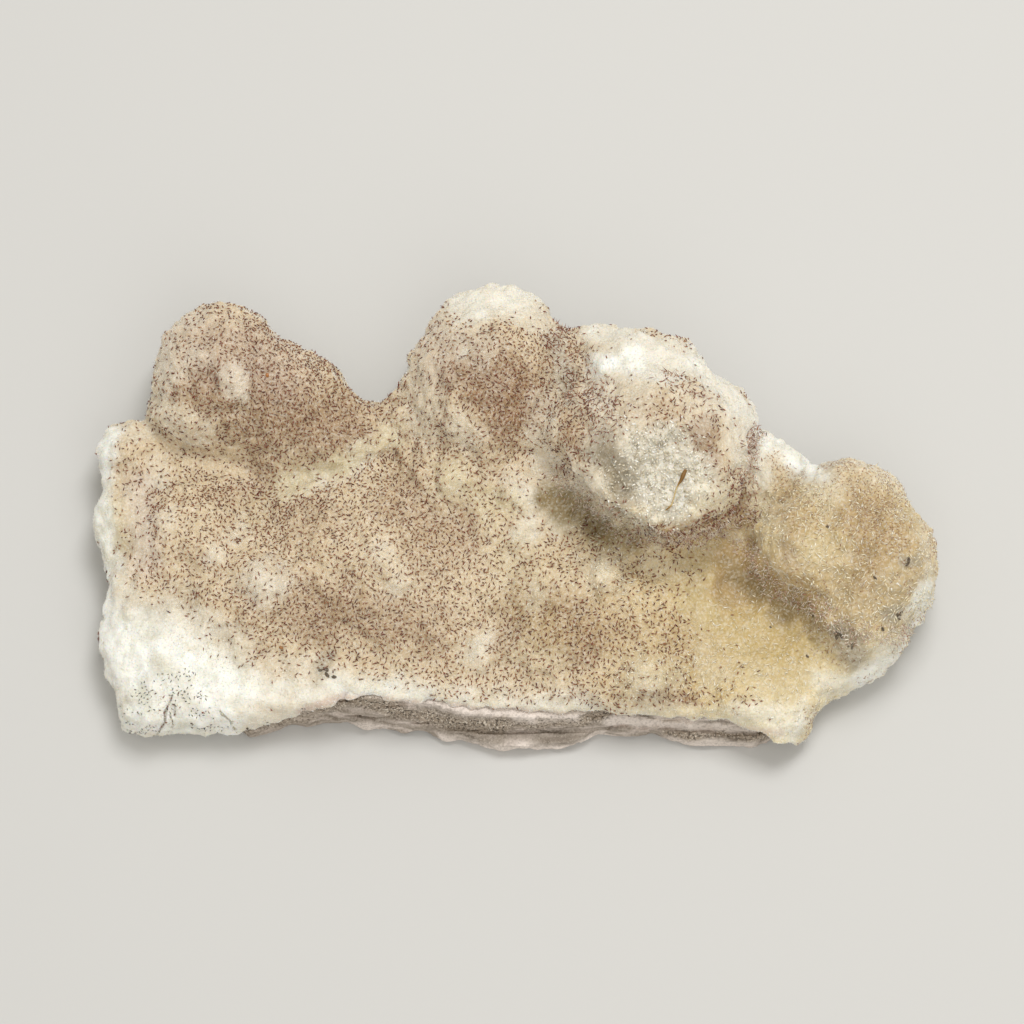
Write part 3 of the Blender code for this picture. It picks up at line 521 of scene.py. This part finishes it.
def crust_skin():
    """The crust in fine mesh: facets gone, then the small lumps of its botryoidal growth."""
    crust = copy_of_solid("velvety_crust", "hydrozincite_crust")
    apply(crust, "REMESH", mode="VOXEL", voxel_size=CRUST_GRID * MM)
    soften(crust, 12)
    ease(crust, EASED, 40)
    buds = pattern("buds", "VORONOI", BUD_WIDTH, distance_metric="DISTANCE", noise_intensity=1.0)
    depth = -BUD_HEIGHT * MM
    apply(crust, "DISPLACE", texture=buds, texture_coords="LOCAL", strength=depth, mid_level=0.35)
    press(crust, MOUNDS, MOUND_HEIGHT)
    press(crust, CREASES, -CREASE_DEPTH)
    press(crust, DISH_CRYSTALS, DISH_CRYSTAL_HEIGHT)
    undercut(crust)
    soften(crust, 5)
    roughen(crust)
    refine_along(crust, CRACKS, CRACK_REACH)
    press(crust, CRACKS, -CRACK_DEPTH)
    return crust


def ease(piece, strokes, times):
    """Smooths a piece only along strokes, so that a step there becomes a slope."""
    group = piece.vertex_groups.new(name="eased")
    for corner, share in enumerate(painted(seen(points_of(piece)), strokes)):
        if share > 0.02:
            group.add([corner], share, "REPLACE")
    soften(piece, times, vertex_group="eased")
    piece.vertex_groups.clear()


def roughen(piece):
    """Small knobbles of two widths all over, stronger on the rims and in the dish."""
    places, ways = points_of(piece), directions_of(piece)
    rim = 1.0 - smooth(0.15, 0.6, ways @ TOWARD_VIEW)
    dish = smooth(DISH_REACH * 0.95, DISH_REACH * 0.5, dish_distance(places))
    dish *= places[:, 2] > DISH_ABOVE
    coarse = cloud(places, KNOBBLE_WIDTH, 61.0) * (0.26 + 0.2 * rim + 0.25 * dish)
    fine = cloud(places, FINE_KNOBBLE_WIDTH, 71.0) * (0.13 + 0.08 * rim + 0.3 * dish)
    places += ways * (coarse + fine)[:, None]
    places[:, 2] = np.maximum(places[:, 2], 0.0)
    move_points(piece, places)


def dish_distance(places):
    """How far places lie from the middle of the dish, as the photograph shows them."""
    return np.linalg.norm(seen(places) - np.array(DISH_MIDDLE), axis=1)


def press(piece, strokes, height):
    """Raises or sinks a piece's upper skin along strokes."""
    places, ways = points_of(piece), directions_of(piece)
    weight = painted(seen(places), strokes) * smooth(-0.2, 0.2, ways[:, 2])
    move_points(piece, places + ways * (weight * height)[:, None])


def undercut(piece):
    """Draws the wall of the nose back beneath its lip, toward the middle of the nose."""
    places = points_of(piece)
    weight = painted(seen(places), UNDERCUT)
    height = places[:, 2]
    inward = np.array(NOSE_MIDDLE) - places[:, :2]
    inward /= np.linalg.norm(inward, axis=1)[:, None]
    back = UNDERCUT_DEPTH * smooth(*WALL_BEGINS, height) * smooth(*WALL_ENDS, height)
    lip = LIP_BACK * smooth(*LIP_BEGINS, height)
    places[:, :2] += inward * (weight * (back + lip))[:, None]
    move_points(piece, places)


def refine_along(piece, strokes, reach):
    """Cuts the faces near strokes finer, so that they can hold a narrow groove."""
    only(piece)
    bpy.ops.object.mode_set(mode="EDIT")
    bpy.ops.mesh.select_mode(type="VERT")
    bpy.ops.mesh.select_all(action="DESELECT")
    bpy.ops.object.mode_set(mode="OBJECT")
    wider = [(*stroke[:4], reach, 1.0) for stroke in strokes]
    near = painted(seen(points_of(piece)), wider) > 0.05
    near &= directions_of(piece)[:, 2] > -0.1
    piece.data.vertices.foreach_set("select", near)
    bpy.ops.object.mode_set(mode="EDIT")
    bpy.ops.mesh.subdivide(number_cuts=3)
    bpy.ops.object.mode_set(mode="OBJECT")


def paint_crust(crust):
    """Lays each finish of the crust as a value that the material reads."""
    places = points_of(crust)
    flat = seen(places)
    drift = np.stack([cloud(places, 3.0, 11.0), cloud(places, 3.0, 23.0)], axis=1)
    fray = np.stack([cloud(places, 0.9, 31.0), cloud(places, 0.9, 47.0)], axis=1)
    flat = flat + drift * 1.3 + fray * 0.5
    ways = directions_of(crust)
    facing = smooth(-0.35, 0.25, ways[:, 2])
    front = smooth(0.04, 0.36, ways @ TOWARD_VIEW + 0.2 * fray[:, 0])
    # The stain gives way where the crust is unstained, and where a few strokes paint light onto shaded
    # slopes.
    stain = (1.0 - painted(flat, BARE_OF_STAIN_AND_LIGHTENED)) * front
    dashes = stain ** 2 * (1.0 - painted(flat, FEW_DASHES)) * (0.5 + 1.2 * painted(flat, MANY_DASHES))
    keep_values(crust, "stain", stain)
    keep_values(crust, "dashes", dashes * (1.0 - 0.8 * painted(flat, WAXY_YELLOW)))
    keep_values(crust, "snow", np.maximum(painted(flat, SNOW_WHITE), 0.5 * (1.0 - facing)))
    # Among these are the painted olive shadow and the painted shade within the deep brown and the grey.
    for name, strokes in UPPER_FINISHES.items():
        keep_values(crust, name, painted(flat, strokes) * facing)
    keep_values(crust, "rosy", painted(seen(places) + fray * 0.3, ROSY_SEAM))
    keep_values(crust, "crack", painted(seen(places) + fray * 0.25, CRACKS) * facing)
    keep_values(crust, "warmth", smooth(*WARMTH_FROM_TO, flat[:, 0]) * smooth(*WARMTH_DOWN, flat[:, 1]))
    high = smooth(*DISH_FADES_IN, places[:, 2])
    ragged = dish_distance(places) + 1.6 * drift[:, 0] + 1.2 * fray[:, 0]
    keep_values(crust, "dish", smooth(DISH_REACH, DISH_REACH * 0.55, ragged) * high)


def hydrozincite_material():
    """Hydrozincite: finely fibrous zinc mineral grown as a crust. Fibres ending at the skin
    make it velvety and keep gloss away, and light that sinks in gives the waxy glow."""
    material, tree, surface = new_material("fibrous_hydrozincite")
    where = node(tree, "ShaderNodeTexCoord", {}, {}).outputs["Object"]

    # The deep brown is partly real stain and partly painted shade in hollows and creases.
    stain = lay_finishes(tree, hexed("#CFBB99"), (("warmth", "#CBB37C"), ("deep_stain_and_shade", "#92714A")))
    clean = lay_finishes(tree, hexed("#DED6C4"), (("warmth", "#D9CBA5"),))
    waxy = lay_finishes(tree, hexed("#CBBE97"), (("warmth", "#BCA56C"),))
    # Crystals of the dish in patches of about 0.9 mm, and the white clouded in ones of 2.5 mm.
    patches = speckle(tree, where, 0.9, 2.0, 0.5, 0.75, 1.0)
    sugary = lay_finishes(tree, hexed("#E2DBCA"), ((patches, "#ADA492"),))
    clouds = speckle(tree, where, 2.5, 2.0, 0.45, 0.75, 1.0)
    white = lay_finishes(tree, hexed("#F4F5EF"), ((clouds, "#D3D2C2"),))
    colour = lay_finishes(tree, clean, (
        ("stain", stain),
        ("yellow", waxy),
        ("ochre", "#A98C57"),
        ("dish", sugary),
        # The grey is partly real grey crystal and partly painted shade in the dish.
        ("grey_and_dish_shade", "#9D917A"),
        ("snow", white),
        # Painted shadow, olive brown, under the nose's lip and along the right knob's lower edge.
        ("olive_painted_shadow", "#806B3A"),
        ("rosy", "#C9B5A8"),
        ("crack", "#6F6555"),
        # Mottling of about 1.6 mm and fibre ends of 0.3 mm, a little coarser than the real ones.
        (speckle(tree, where, 1.6, 3.0, 0.35, 0.75, 0.25), "#C7B28E"),
        (speckle(tree, where, 0.3, 1.0, 0.45, 0.75, 0.3), "#FBF9F0"),
    ))
    tree.links.new(colour, surface.inputs["Base Color"])
    set_inputs(surface, {
        "Roughness": 0.6,
        "IOR": 1.63,
        "Subsurface Weight": 0.5,
        "Subsurface Radius": (1.0, 0.8, 0.55),
        "Subsurface Scale": 1.2 * MM,
        "Sheen Weight": 0.4,
        "Sheen Roughness": 0.4,
        "Sheen Tint": hexed("#FFF6E8"),
    })
    grain = speckle(tree, where, 0.35, 2.0, 0.3, 0.7, 1.0)
    bump = {"Strength": 0.4, "Distance": 0.12 * MM, "Height": grain}
    tree.links.new(node(tree, "ShaderNodeBump", {}, bump).outputs["Normal"], surface.inputs["Normal"])
    return material


# The needles that stand on the crust.


def spots_on(host, tried, gap, cover, seed):
    """Random spots on a piece's skin, none nearer to another than a gap: their places and
    the outward directions there."""
    mesh = host.data
    mesh.calc_loop_triangles()
    corners = np.empty(len(mesh.loop_triangles) * 3, np.int32)
    mesh.loop_triangles.foreach_get("vertices", corners)
    corners = corners.reshape(-1, 3)
    places, ways = points_of(host), directions_of(host)
    edges = places[corners[:, 1:]] - places[corners[:, :1]]
    area = np.linalg.norm(np.cross(edges[:, 0], edges[:, 1]), axis=1)
    weight = area * cover[corners].mean(axis=1)
    chance = np.random.default_rng(seed)
    chosen = chance.choice(len(corners), tried, p=weight / weight.sum())
    mix = chance.dirichlet((1.0, 1.0, 1.0), tried)
    found = (places[corners[chosen]] * mix[:, :, None]).sum(axis=1)
    way = (ways[corners[chosen]] * mix[:, :, None]).sum(axis=1)
    way /= np.linalg.norm(way, axis=1)[:, None]
    taken = {}
    kept = []
    cells = np.floor(found / gap).astype(int)
    for i, (a, b, c) in enumerate(cells):
        near = (
            taken.get((a + p, b + q, c + r))
            for p in (-1, 0, 1) for q in (-1, 0, 1) for r in (-1, 0, 1)
        )
        if all(j is None or np.sum((found[j] - found[i]) ** 2) > gap * gap for j in near):
            taken[(a, b, c)] = i
            kept.append(i)
    return found[kept], way[kept]


def model_spike(sides, belly):
    """One needle, 1 long and 1 thick: widest at a share of its length, pointed at its tip."""
    bpy.ops.object.select_all(action="DESELECT")
    middle = (0.0, 0.0, (1.0 + belly) / 2)
    bpy.ops.mesh.primitive_cone_add(vertices=sides, radius1=0.5, depth=1.0 - belly, location=middle)
    spike = bpy.context.object
    bpy.ops.object.transform_apply(location=True, rotation=True, scale=True)
    if belly > 0.0:
        bpy.ops.object.mode_set(mode="EDIT")
        bpy.ops.mesh.select_mode(type="FACE")
        bpy.ops.mesh.select_all(action="DESELECT")
        bpy.ops.object.mode_set(mode="OBJECT")
        for face in spike.data.polygons:
            face.select = face.normal.z < -0.9
        bpy.ops.object.mode_set(mode="EDIT")
        bpy.ops.mesh.extrude_region_move(TRANSFORM_OT_translate={"value": (0.0, 0.0, -belly)})
        bpy.ops.mesh.merge(type="CENTER")
        bpy.ops.mesh.select_all(action="SELECT")
        bpy.ops.mesh.quads_convert_to_tris()
        bpy.ops.object.mode_set(mode="OBJECT")
    spike.data.calc_loop_triangles()
    places = np.empty(len(spike.data.vertices) * 3)
    spike.data.vertices.foreach_get("co", places)
    corners = np.empty(len(spike.data.loop_triangles) * 3, np.int32)
    spike.data.loop_triangles.foreach_get("vertices", corners)
    bpy.data.objects.remove(spike)
    return places.reshape(-1, 3), corners.reshape(-1, 3)


def lean_out(ways, lean, chance):
    """Directions that lean away from each outward way by so many degrees, any way round."""
    side = np.cross(ways, chance.normal(size=ways.shape))
    side /= np.linalg.norm(side, axis=1)[:, None]
    lean = np.radians(lean)[:, None]
    return ways * np.cos(lean) + side * np.sin(lean)


def needle_coat(name, shape, spots, aim, length, thickness, sunk, seed):
    """Many copies of one spike as a single piece, each with its own shade."""
    places, corners = shape
    count = len(spots)
    chance = np.random.default_rng(seed)
    across = np.cross(aim, chance.normal(size=aim.shape))
    across /= np.linalg.norm(across, axis=1)[:, None]
    other = np.cross(aim, across)
    thick = (thickness if np.ndim(thickness) else np.full(count, thickness))[:, None, None]
    body = across[:, None] * places[None, :, :1] * thick + other[:, None] * places[None, :, 1:2] * thick
    body += aim[:, None] * (places[None, :, 2:] - sunk) * length[:, None, None]
    body += spots[:, None]
    faces = (corners[None] + (np.arange(count) * len(places))[:, None, None]).reshape(-1, 3)
    mesh = bpy.data.meshes.new(name)
    mesh.vertices.add(count * len(places))
    mesh.vertices.foreach_set("co", (body * MM).ravel())
    mesh.loops.add(len(faces) * 3)
    mesh.loops.foreach_set("vertex_index", faces.ravel().astype(np.int32))
    mesh.polygons.add(len(faces))
    mesh.polygons.foreach_set("loop_start", np.arange(0, len(faces) * 3, 3, dtype=np.int32))
    mesh.update(calc_edges=True)
    piece = bpy.data.objects.new(name, mesh)
    bpy.context.scene.collection.objects.link(piece)
    keep_values(piece, "shade", np.repeat(chance.random(count), len(places)))
    return piece


def needle_material(name, stops, roughness, glow):
    """Needles of one finish: each takes its own colour from a short range."""
    material, tree, surface = new_material(name)
    shade = node(tree, "ShaderNodeAttribute", {"attribute_name": "shade"}, {}).outputs["Fac"]
    ramp = node(tree, "ShaderNodeValToRGB", {}, {"Fac": shade})
    ramp.color_ramp.elements[0].color = hexed(stops[0][1])
    ramp.color_ramp.elements[1].color = hexed(stops[-1][1])
    for place, code in stops[1:-1]:
        ramp.color_ramp.elements.new(place).color = hexed(code)
    tree.links.new(ramp.outputs["Color"], surface.inputs["Base Color"])
    set_inputs(surface, {
        "Roughness": roughness,
        "Subsurface Weight": glow,
        "Subsurface Radius": (1.0, 0.8, 0.6),
        "Subsurface Scale": 0.3 * MM,
    })
    return material


def stained_needles(crust):
    """Iron-stained needles, which make the brown dashes of the velvet. They are thicker and
    fewer than the real ones, so that they show in the render."""
    cover = values_of(crust, "dashes") * (1.0 + values_of(crust, "deep_stain_and_shade")) * (1.0 - values_of(crust, "dish"))
    places = points_of(crust)
    cover *= smooth(*KNOB_FROM_TO[::-1], places[:, 0]) * (1.0 - 0.6 * painted(seen(places), FRINGE))
    spots, ways = spots_on(crust, tried=19000, gap=0.27, cover=cover, seed=5)
    chance = np.random.default_rng(6)
    count = len(spots)
    aim = lean_out(ways, chance.uniform(58.0, 90.0, count), chance)
    length = chance.uniform(0.3, 0.64, count)
    thickness = chance.uniform(0.13, 0.19, count)
    lifted = spots + ways * 0.07
    spike = model_spike(sides=3, belly=0.4)
    coat = needle_coat("stained_needles", spike, lifted, aim, length, thickness, sunk=0.3, seed=7)
    finish_piece(coat, needle_material("iron_stained_needles", STAINED, 0.55, 0.0))


def clean_needles(crust, name, cover):
    """One coat of unstained needles over the places that a cover value gives."""
    tried, gap, lean, lengths, thickness, colours, seed, sides = COATS[name]
    spots, ways = spots_on(crust, tried, gap, cover, seed)
    chance = np.random.default_rng(seed + 1)
    count = len(spots)
    aim = lean_out(ways, chance.uniform(*lean, count), chance)
    length = chance.uniform(*lengths, count)
    spike = model_spike(sides, belly=0.0)
    coat = needle_coat(name, spike, spots, aim, length, thickness, sunk=0.2, seed=seed + 2)
    finish_piece(coat, needle_material(name + "_clear", colours, 0.35, 0.15))


def frost(crust):
    """Clean needles: short cream ones between the stained, longer white frost where it is bare,
    long pale ones on the right knob, and blocky crystals in the dish."""
    snow, dish, stain, dashes = (values_of(crust, name) for name in ("snow", "dish", "stain", "dashes"))
    # Fewer clean needles over the waxy yellow and the painted olive shadow, and over the grey crystals and
    # the painted shade of the dish.
    free_of_tint_and_shadow = 1.0 - 0.85 * np.maximum(values_of(crust, "olive_painted_shadow"), values_of(crust, "yellow"))
    clear = 1.0 - 0.85 * values_of(crust, "grey_and_dish_shade")
    shaded = np.maximum(values_of(crust, "olive_painted_shadow"), values_of(crust, "deep_stain_and_shade"))
    places, ways = points_of(crust), directions_of(crust)
    skyward = smooth(-0.6, 0.0, ways[:, 2]) + 0.05
    flat = seen(places)
    knob = painted(flat, SPINES)
    bare = (1.0 - stain + snow) * skyward * (1.0 - dish)
    clumps = smooth(-0.1, 0.25, cloud(places, 1.1, 17.0))
    clean_needles(crust, "long_red_needles", values_of(crust, "long_red"))
    clean_needles(crust, "lip_fringe", painted(flat, FRINGE) * skyward)
    clean_needles(crust, "rosy_needles", dashes * smooth(*KNOB_FROM_TO, places[:, 0]))
    clean_needles(crust, "grey_pepper", values_of(crust, "pepper") * clumps)
    clean_needles(crust, "cream_nap", stain * skyward * (1.0 - dish) * free_of_tint_and_shadow)
    clean_needles(crust, "white_frost", bare * (1.0 - 0.7 * knob) * free_of_tint_and_shadow * clear)
    clean_needles(crust, "knob_spines", knob * skyward * (1.0 - 0.6 * shaded))
    clean_needles(crust, "dish_crystals", dish * clear)


# The host rock.


def rock_piece():
    """The layered host rock, in fine mesh with ragged layers on its broken edge."""
    rock = copy_of_solid("layered_host_rock", "host_rock")
    apply(rock, "REMESH", mode="VOXEL", voxel_size=ROCK_GRID * MM)
    soften(rock, 2)
    places = points_of(rock)
    ways = directions_of(rock)
    top = smooth(0.6, 0.9, ways[:, 2])
    places[:, 2] += 0.4 * top
    height = places[:, 2] + 0.35 * cloud(places, 5.0, 3.0)
    layer = np.floor(height / LAYER_THICKNESS)
    ragged = cloud(np.stack((places[:, 0], places[:, 1], layer * 9.0), axis=1), 1.8, 0.0)
    side = 1.0 - smooth(0.5, 0.8, np.abs(ways[:, 2]))
    places += ways * (side * (LAYER_DEPTH * ragged - 0.1))[:, None]
    places[:, 2] = np.maximum(places[:, 2], 0.0)
    move_points(rock, places)
    chips = pattern("chips", "VORONOI", CHIP_WIDTH, distance_metric="DISTANCE")
    height = CHIP_HEIGHT * MM
    apply(rock, "DISPLACE", texture=chips, texture_coords="LOCAL", strength=height, mid_level=0.6)
    places = points_of(rock)
    places[:, 2] = np.maximum(places[:, 2], 0.0)
    move_points(rock, places)
    return rock


def paint_rock(rock):
    """Marks the pale plates and the dark band on the rock's broken edge."""
    places = points_of(rock)
    flat = seen(places) + np.stack([cloud(places, 0.8, 5.0), cloud(places, 0.8, 9.0)], axis=1) * 0.35
    flat[:, 1] += 0.35 * cloud(places, 2.5, 15.0)
    keep_values(rock, "pale", painted(flat, PALE_PLATES))
    keep_values(rock, "dark", 0.75 * painted(flat, DARK_BAND))


def rock_material():
    """Host rock: fine-grained layered rock, split and broken. Matt, with thin pink-white
    layers and small grains that catch the light."""
    material, tree, surface = new_material("broken_layered_rock")
    where = node(tree, "ShaderNodeTexCoord", {}, {}).outputs["Object"]
    flattened = {"Vector": where, "Scale": (0.1, 0.1, 1.0)}
    layers = node(tree, "ShaderNodeMapping", {}, flattened).outputs["Vector"]
    dark = node(tree, "ShaderNodeAttribute", {"attribute_name": "dark"}, {}).outputs["Fac"]
    crowding = {"Value": dark, "From Max": 0.75, "To Min": 0.25}
    crowd = node(tree, "ShaderNodeMapRange", {}, crowding).outputs["Result"]
    colour = lay_finishes(tree, hexed("#A19588"), (
        # Thin layers of about 0.45 mm, dark, grey and pale.
        (speckle(tree, layers, 0.45, 4.0, 0.45, 0.25, 1.0), "#766A5D"),
        (speckle(tree, layers, 0.45, 4.0, 0.45, 0.58, 1.0), "#BBAEA3"),
        (speckle(tree, layers, 0.45, 4.0, 0.56, 0.74, 1.0), "#DED1C7"),
        ("dark", "#9F8F7C"),
        ("pale", "#E6DAD0"),
        # Grains of about 0.25 mm, a little coarser than the real ones: crowded in the dark
        # band, few on the pale plates.
        (speckle(tree, where, 0.27, 2.0, 0.5, 0.62, crowd), "#4A4035"),
        (speckle(tree, where, 0.21, 2.0, 0.54, 0.66, crowd), "#E2D7C7"),
    ))
    tree.links.new(colour, surface.inputs["Base Color"])
    gritty = speckle(tree, where, 0.25, 2.0, 0.2, 0.8, 1.0)
    bump = {"Strength": 0.7, "Distance": 0.15 * MM, "Height": gritty}
    tree.links.new(node(tree, "ShaderNodeBump", {}, bump).outputs["Normal"], surface.inputs["Normal"])
    set_inputs(surface, {"Roughness": 0.75})
    return material


# The odd grains and the fibre caught on the crust.


def place_on(crust, across, up):
    """The upper place on the crust that lies where the photograph shows a point, and its
    outward direction."""
    places, ways = points_of(crust), directions_of(crust)
    miss = np.linalg.norm(seen(places) - np.array((across, up)), axis=1)
    score = np.where(ways[:, 2] > 0.0, miss - 0.02 * places[:, 2], 99.0)
    best = int(np.argmin(score))
    return places[best], ways[best]


def odd_grains(crust):
    """Dark and orange mineral grains caught in the crust: broken little blocks in one piece."""
    made = []
    bits = [(entry[:4], bit) for entry in GRAINS for bit in range(entry[4])]
    for i, ((across, up, width, code), bit) in enumerate(bits):
        aside = np.random.default_rng(200 + i).uniform(-1.0, 1.0, 2) * width * min(bit, 1)
        width *= 0.75 if bit else 1.0
        spot, way = place_on(crust, across + aside[0], up + aside[1])
        bpy.ops.object.select_all(action="DESELECT")
        bpy.ops.mesh.primitive_ico_sphere_add(subdivisions=2, radius=0.5)
        grain = bpy.context.object
        chance = np.random.default_rng(100 + i)
        places = points_of(grain) * MM
        places *= 1.0 + 0.25 * chance.uniform(-1.0, 1.0, len(places))[:, None]
        places *= np.array((1.0, chance.uniform(0.5, 0.8), chance.uniform(0.5, 0.7))) * width
        turned = Matrix.Rotation(chance.uniform(0.0, 3.1), 3, "Z")
        tilted = Vector(way).to_track_quat("Z", "Y").to_matrix() @ turned
        move_points(grain, places @ np.array(tilted).T + spot + way * width * 0.1)
        tint = grain.data.attributes.new("tint", "FLOAT_COLOR", "POINT")
        tint.data.foreach_set("color", np.tile(hexed(code), len(places)).astype(np.float32))
        made.append(grain)
    only(made[0])
    for grain in made:
        grain.select_set(True)
    bpy.ops.object.join()
    made[0].name = "odd_grains"
    finish_piece(made[0], mineral_grains())


def mineral_grains():
    """Grains of other minerals: each its own colour with a cloudy darker side, slightly glossy
    like a broken face."""
    material, tree, surface = new_material("mineral_grains")
    where = node(tree, "ShaderNodeTexCoord", {}, {}).outputs["Object"]
    tint = node(tree, "ShaderNodeAttribute", {"attribute_name": "tint"}, {}).outputs["Color"]
    # Cloudy patches of about 0.2 mm.
    cloudy = node(tree, "ShaderNodeTexNoise", {}, {"Vector": where, "Scale": 1.0 / (0.2 * MM)})
    sockets = {"Fac": cloudy.outputs["Fac"], "Color1": tint, "Color2": hexed("#6B5A45")}
    tree.links.new(node(tree, "ShaderNodeMixRGB", {}, sockets).outputs["Color"], surface.inputs["Base Color"])
    set_inputs(surface, {"Roughness": 0.4})
    return material


def fibre_in_dish(crust):
    """A thin plant fibre lying in the dish: thick and brown at one end, pale along its thread."""
    line = bpy.data.curves.new("fibre", "CURVE")
    line.dimensions = "3D"
    line.bevel_depth = 0.5 * MM
    line.bevel_resolution = 2
    line.use_fill_caps = True
    spline = line.splines.new("NURBS")
    spline.points.add(len(FIBRE) - 1)
    spline.use_endpoint_u = True
    spline.order_u = 3
    for point, (across, up, width) in zip(spline.points, FIBRE):
        spot, _ = place_on(crust, across, up)
        point.co = (*((spot + np.array((0.0, 0.0, FIBRE_LIFT))) * MM), 1.0)
        point.radius = width
    holder = bpy.data.objects.new("fibre_in_dish", line)
    bpy.context.scene.collection.objects.link(holder)
    only(holder)
    bpy.ops.object.convert(target="MESH")
    fibre = bpy.context.object
    up = seen(points_of(fibre))[:, 1]
    keep_values(fibre, "shade", smooth(2.4, 3.4, up) + smooth(0.9, 0.3, up) * 0.8)
    finish_piece(fibre, needle_material("dry_plant_fibre", FIBRE_BROWNS, 0.6, 0.0))


# The floor, the lights and the camera.


def floor_and_lights():
    """A pale floor, one soft light from above, a little to the right and behind, and a weak
    one from the front right."""
    bpy.ops.object.select_all(action="DESELECT")
    bpy.ops.mesh.primitive_plane_add(size=6.0, location=(0.0, 0.0, 0.0))
    floor = bpy.context.object
    floor.name = "floor"
    paper, _, surface = new_material("pale_paper")
    set_inputs(surface, {"Base Color": hexed("#C9C8C5"), "Roughness": 0.9})
    floor.data.materials.append(paper)
    for name, place, size, power in (
        ("main_light", (0.08, 0.145, 0.46), 0.20, 1.3),
        ("front_fill", (0.10, -0.34, 0.38), 0.45, 0.7),
    ):
        lamp = bpy.data.lights.new(name, "AREA")
        lamp.size = size
        lamp.energy = power
        holder = bpy.data.objects.new(name, lamp)
        holder.location = place
        holder.rotation_euler = (-Vector(place)).to_track_quat("-Z", "Y").to_euler()
        bpy.context.scene.collection.objects.link(holder)
    world = bpy.data.worlds.new("soft_room")
    world.use_nodes = True
    set_inputs(world.node_tree.nodes["Background"], {"Color": hexed("#F4F1EA"), "Strength": 0.66})
    bpy.context.scene.world = world


def camera():
    """The photograph's viewing angle and frame."""
    lens = bpy.data.cameras.new("camera")
    lens.sensor_width = SENSOR_WIDTH
    lens.lens = SENSOR_WIDTH / PICTURE_WIDTH * VIEW_DISTANCE
    lens.clip_start = 0.01
    holder = bpy.data.objects.new("camera", lens)
    back = Vector(TOWARD_VIEW)
    holder.location = (Vector(VIEW_MIDDLE) + back * VIEW_DISTANCE) * MM
    holder.rotation_euler = (-back).to_track_quat("-Z", "Y").to_euler()
    bpy.context.scene.collection.objects.link(holder)
    bpy.context.scene.camera = holder


def main():
    crust = crust_skin()
    paint_crust(crust)
    stained_needles(crust)
    frost(crust)
    odd_grains(crust)
    fibre_in_dish(crust)
    finish_piece(crust, hydrozincite_material(), "hydrozincite_crust")
    bpy.ops.object.select_all(action="DESELECT")
    rock = rock_piece()
    paint_rock(rock)
    finish_piece(rock, rock_material(), "host_rock")
    floor_and_lights()
    camera()
    bpy.context.scene.view_settings.view_transform = "Standard"


main()
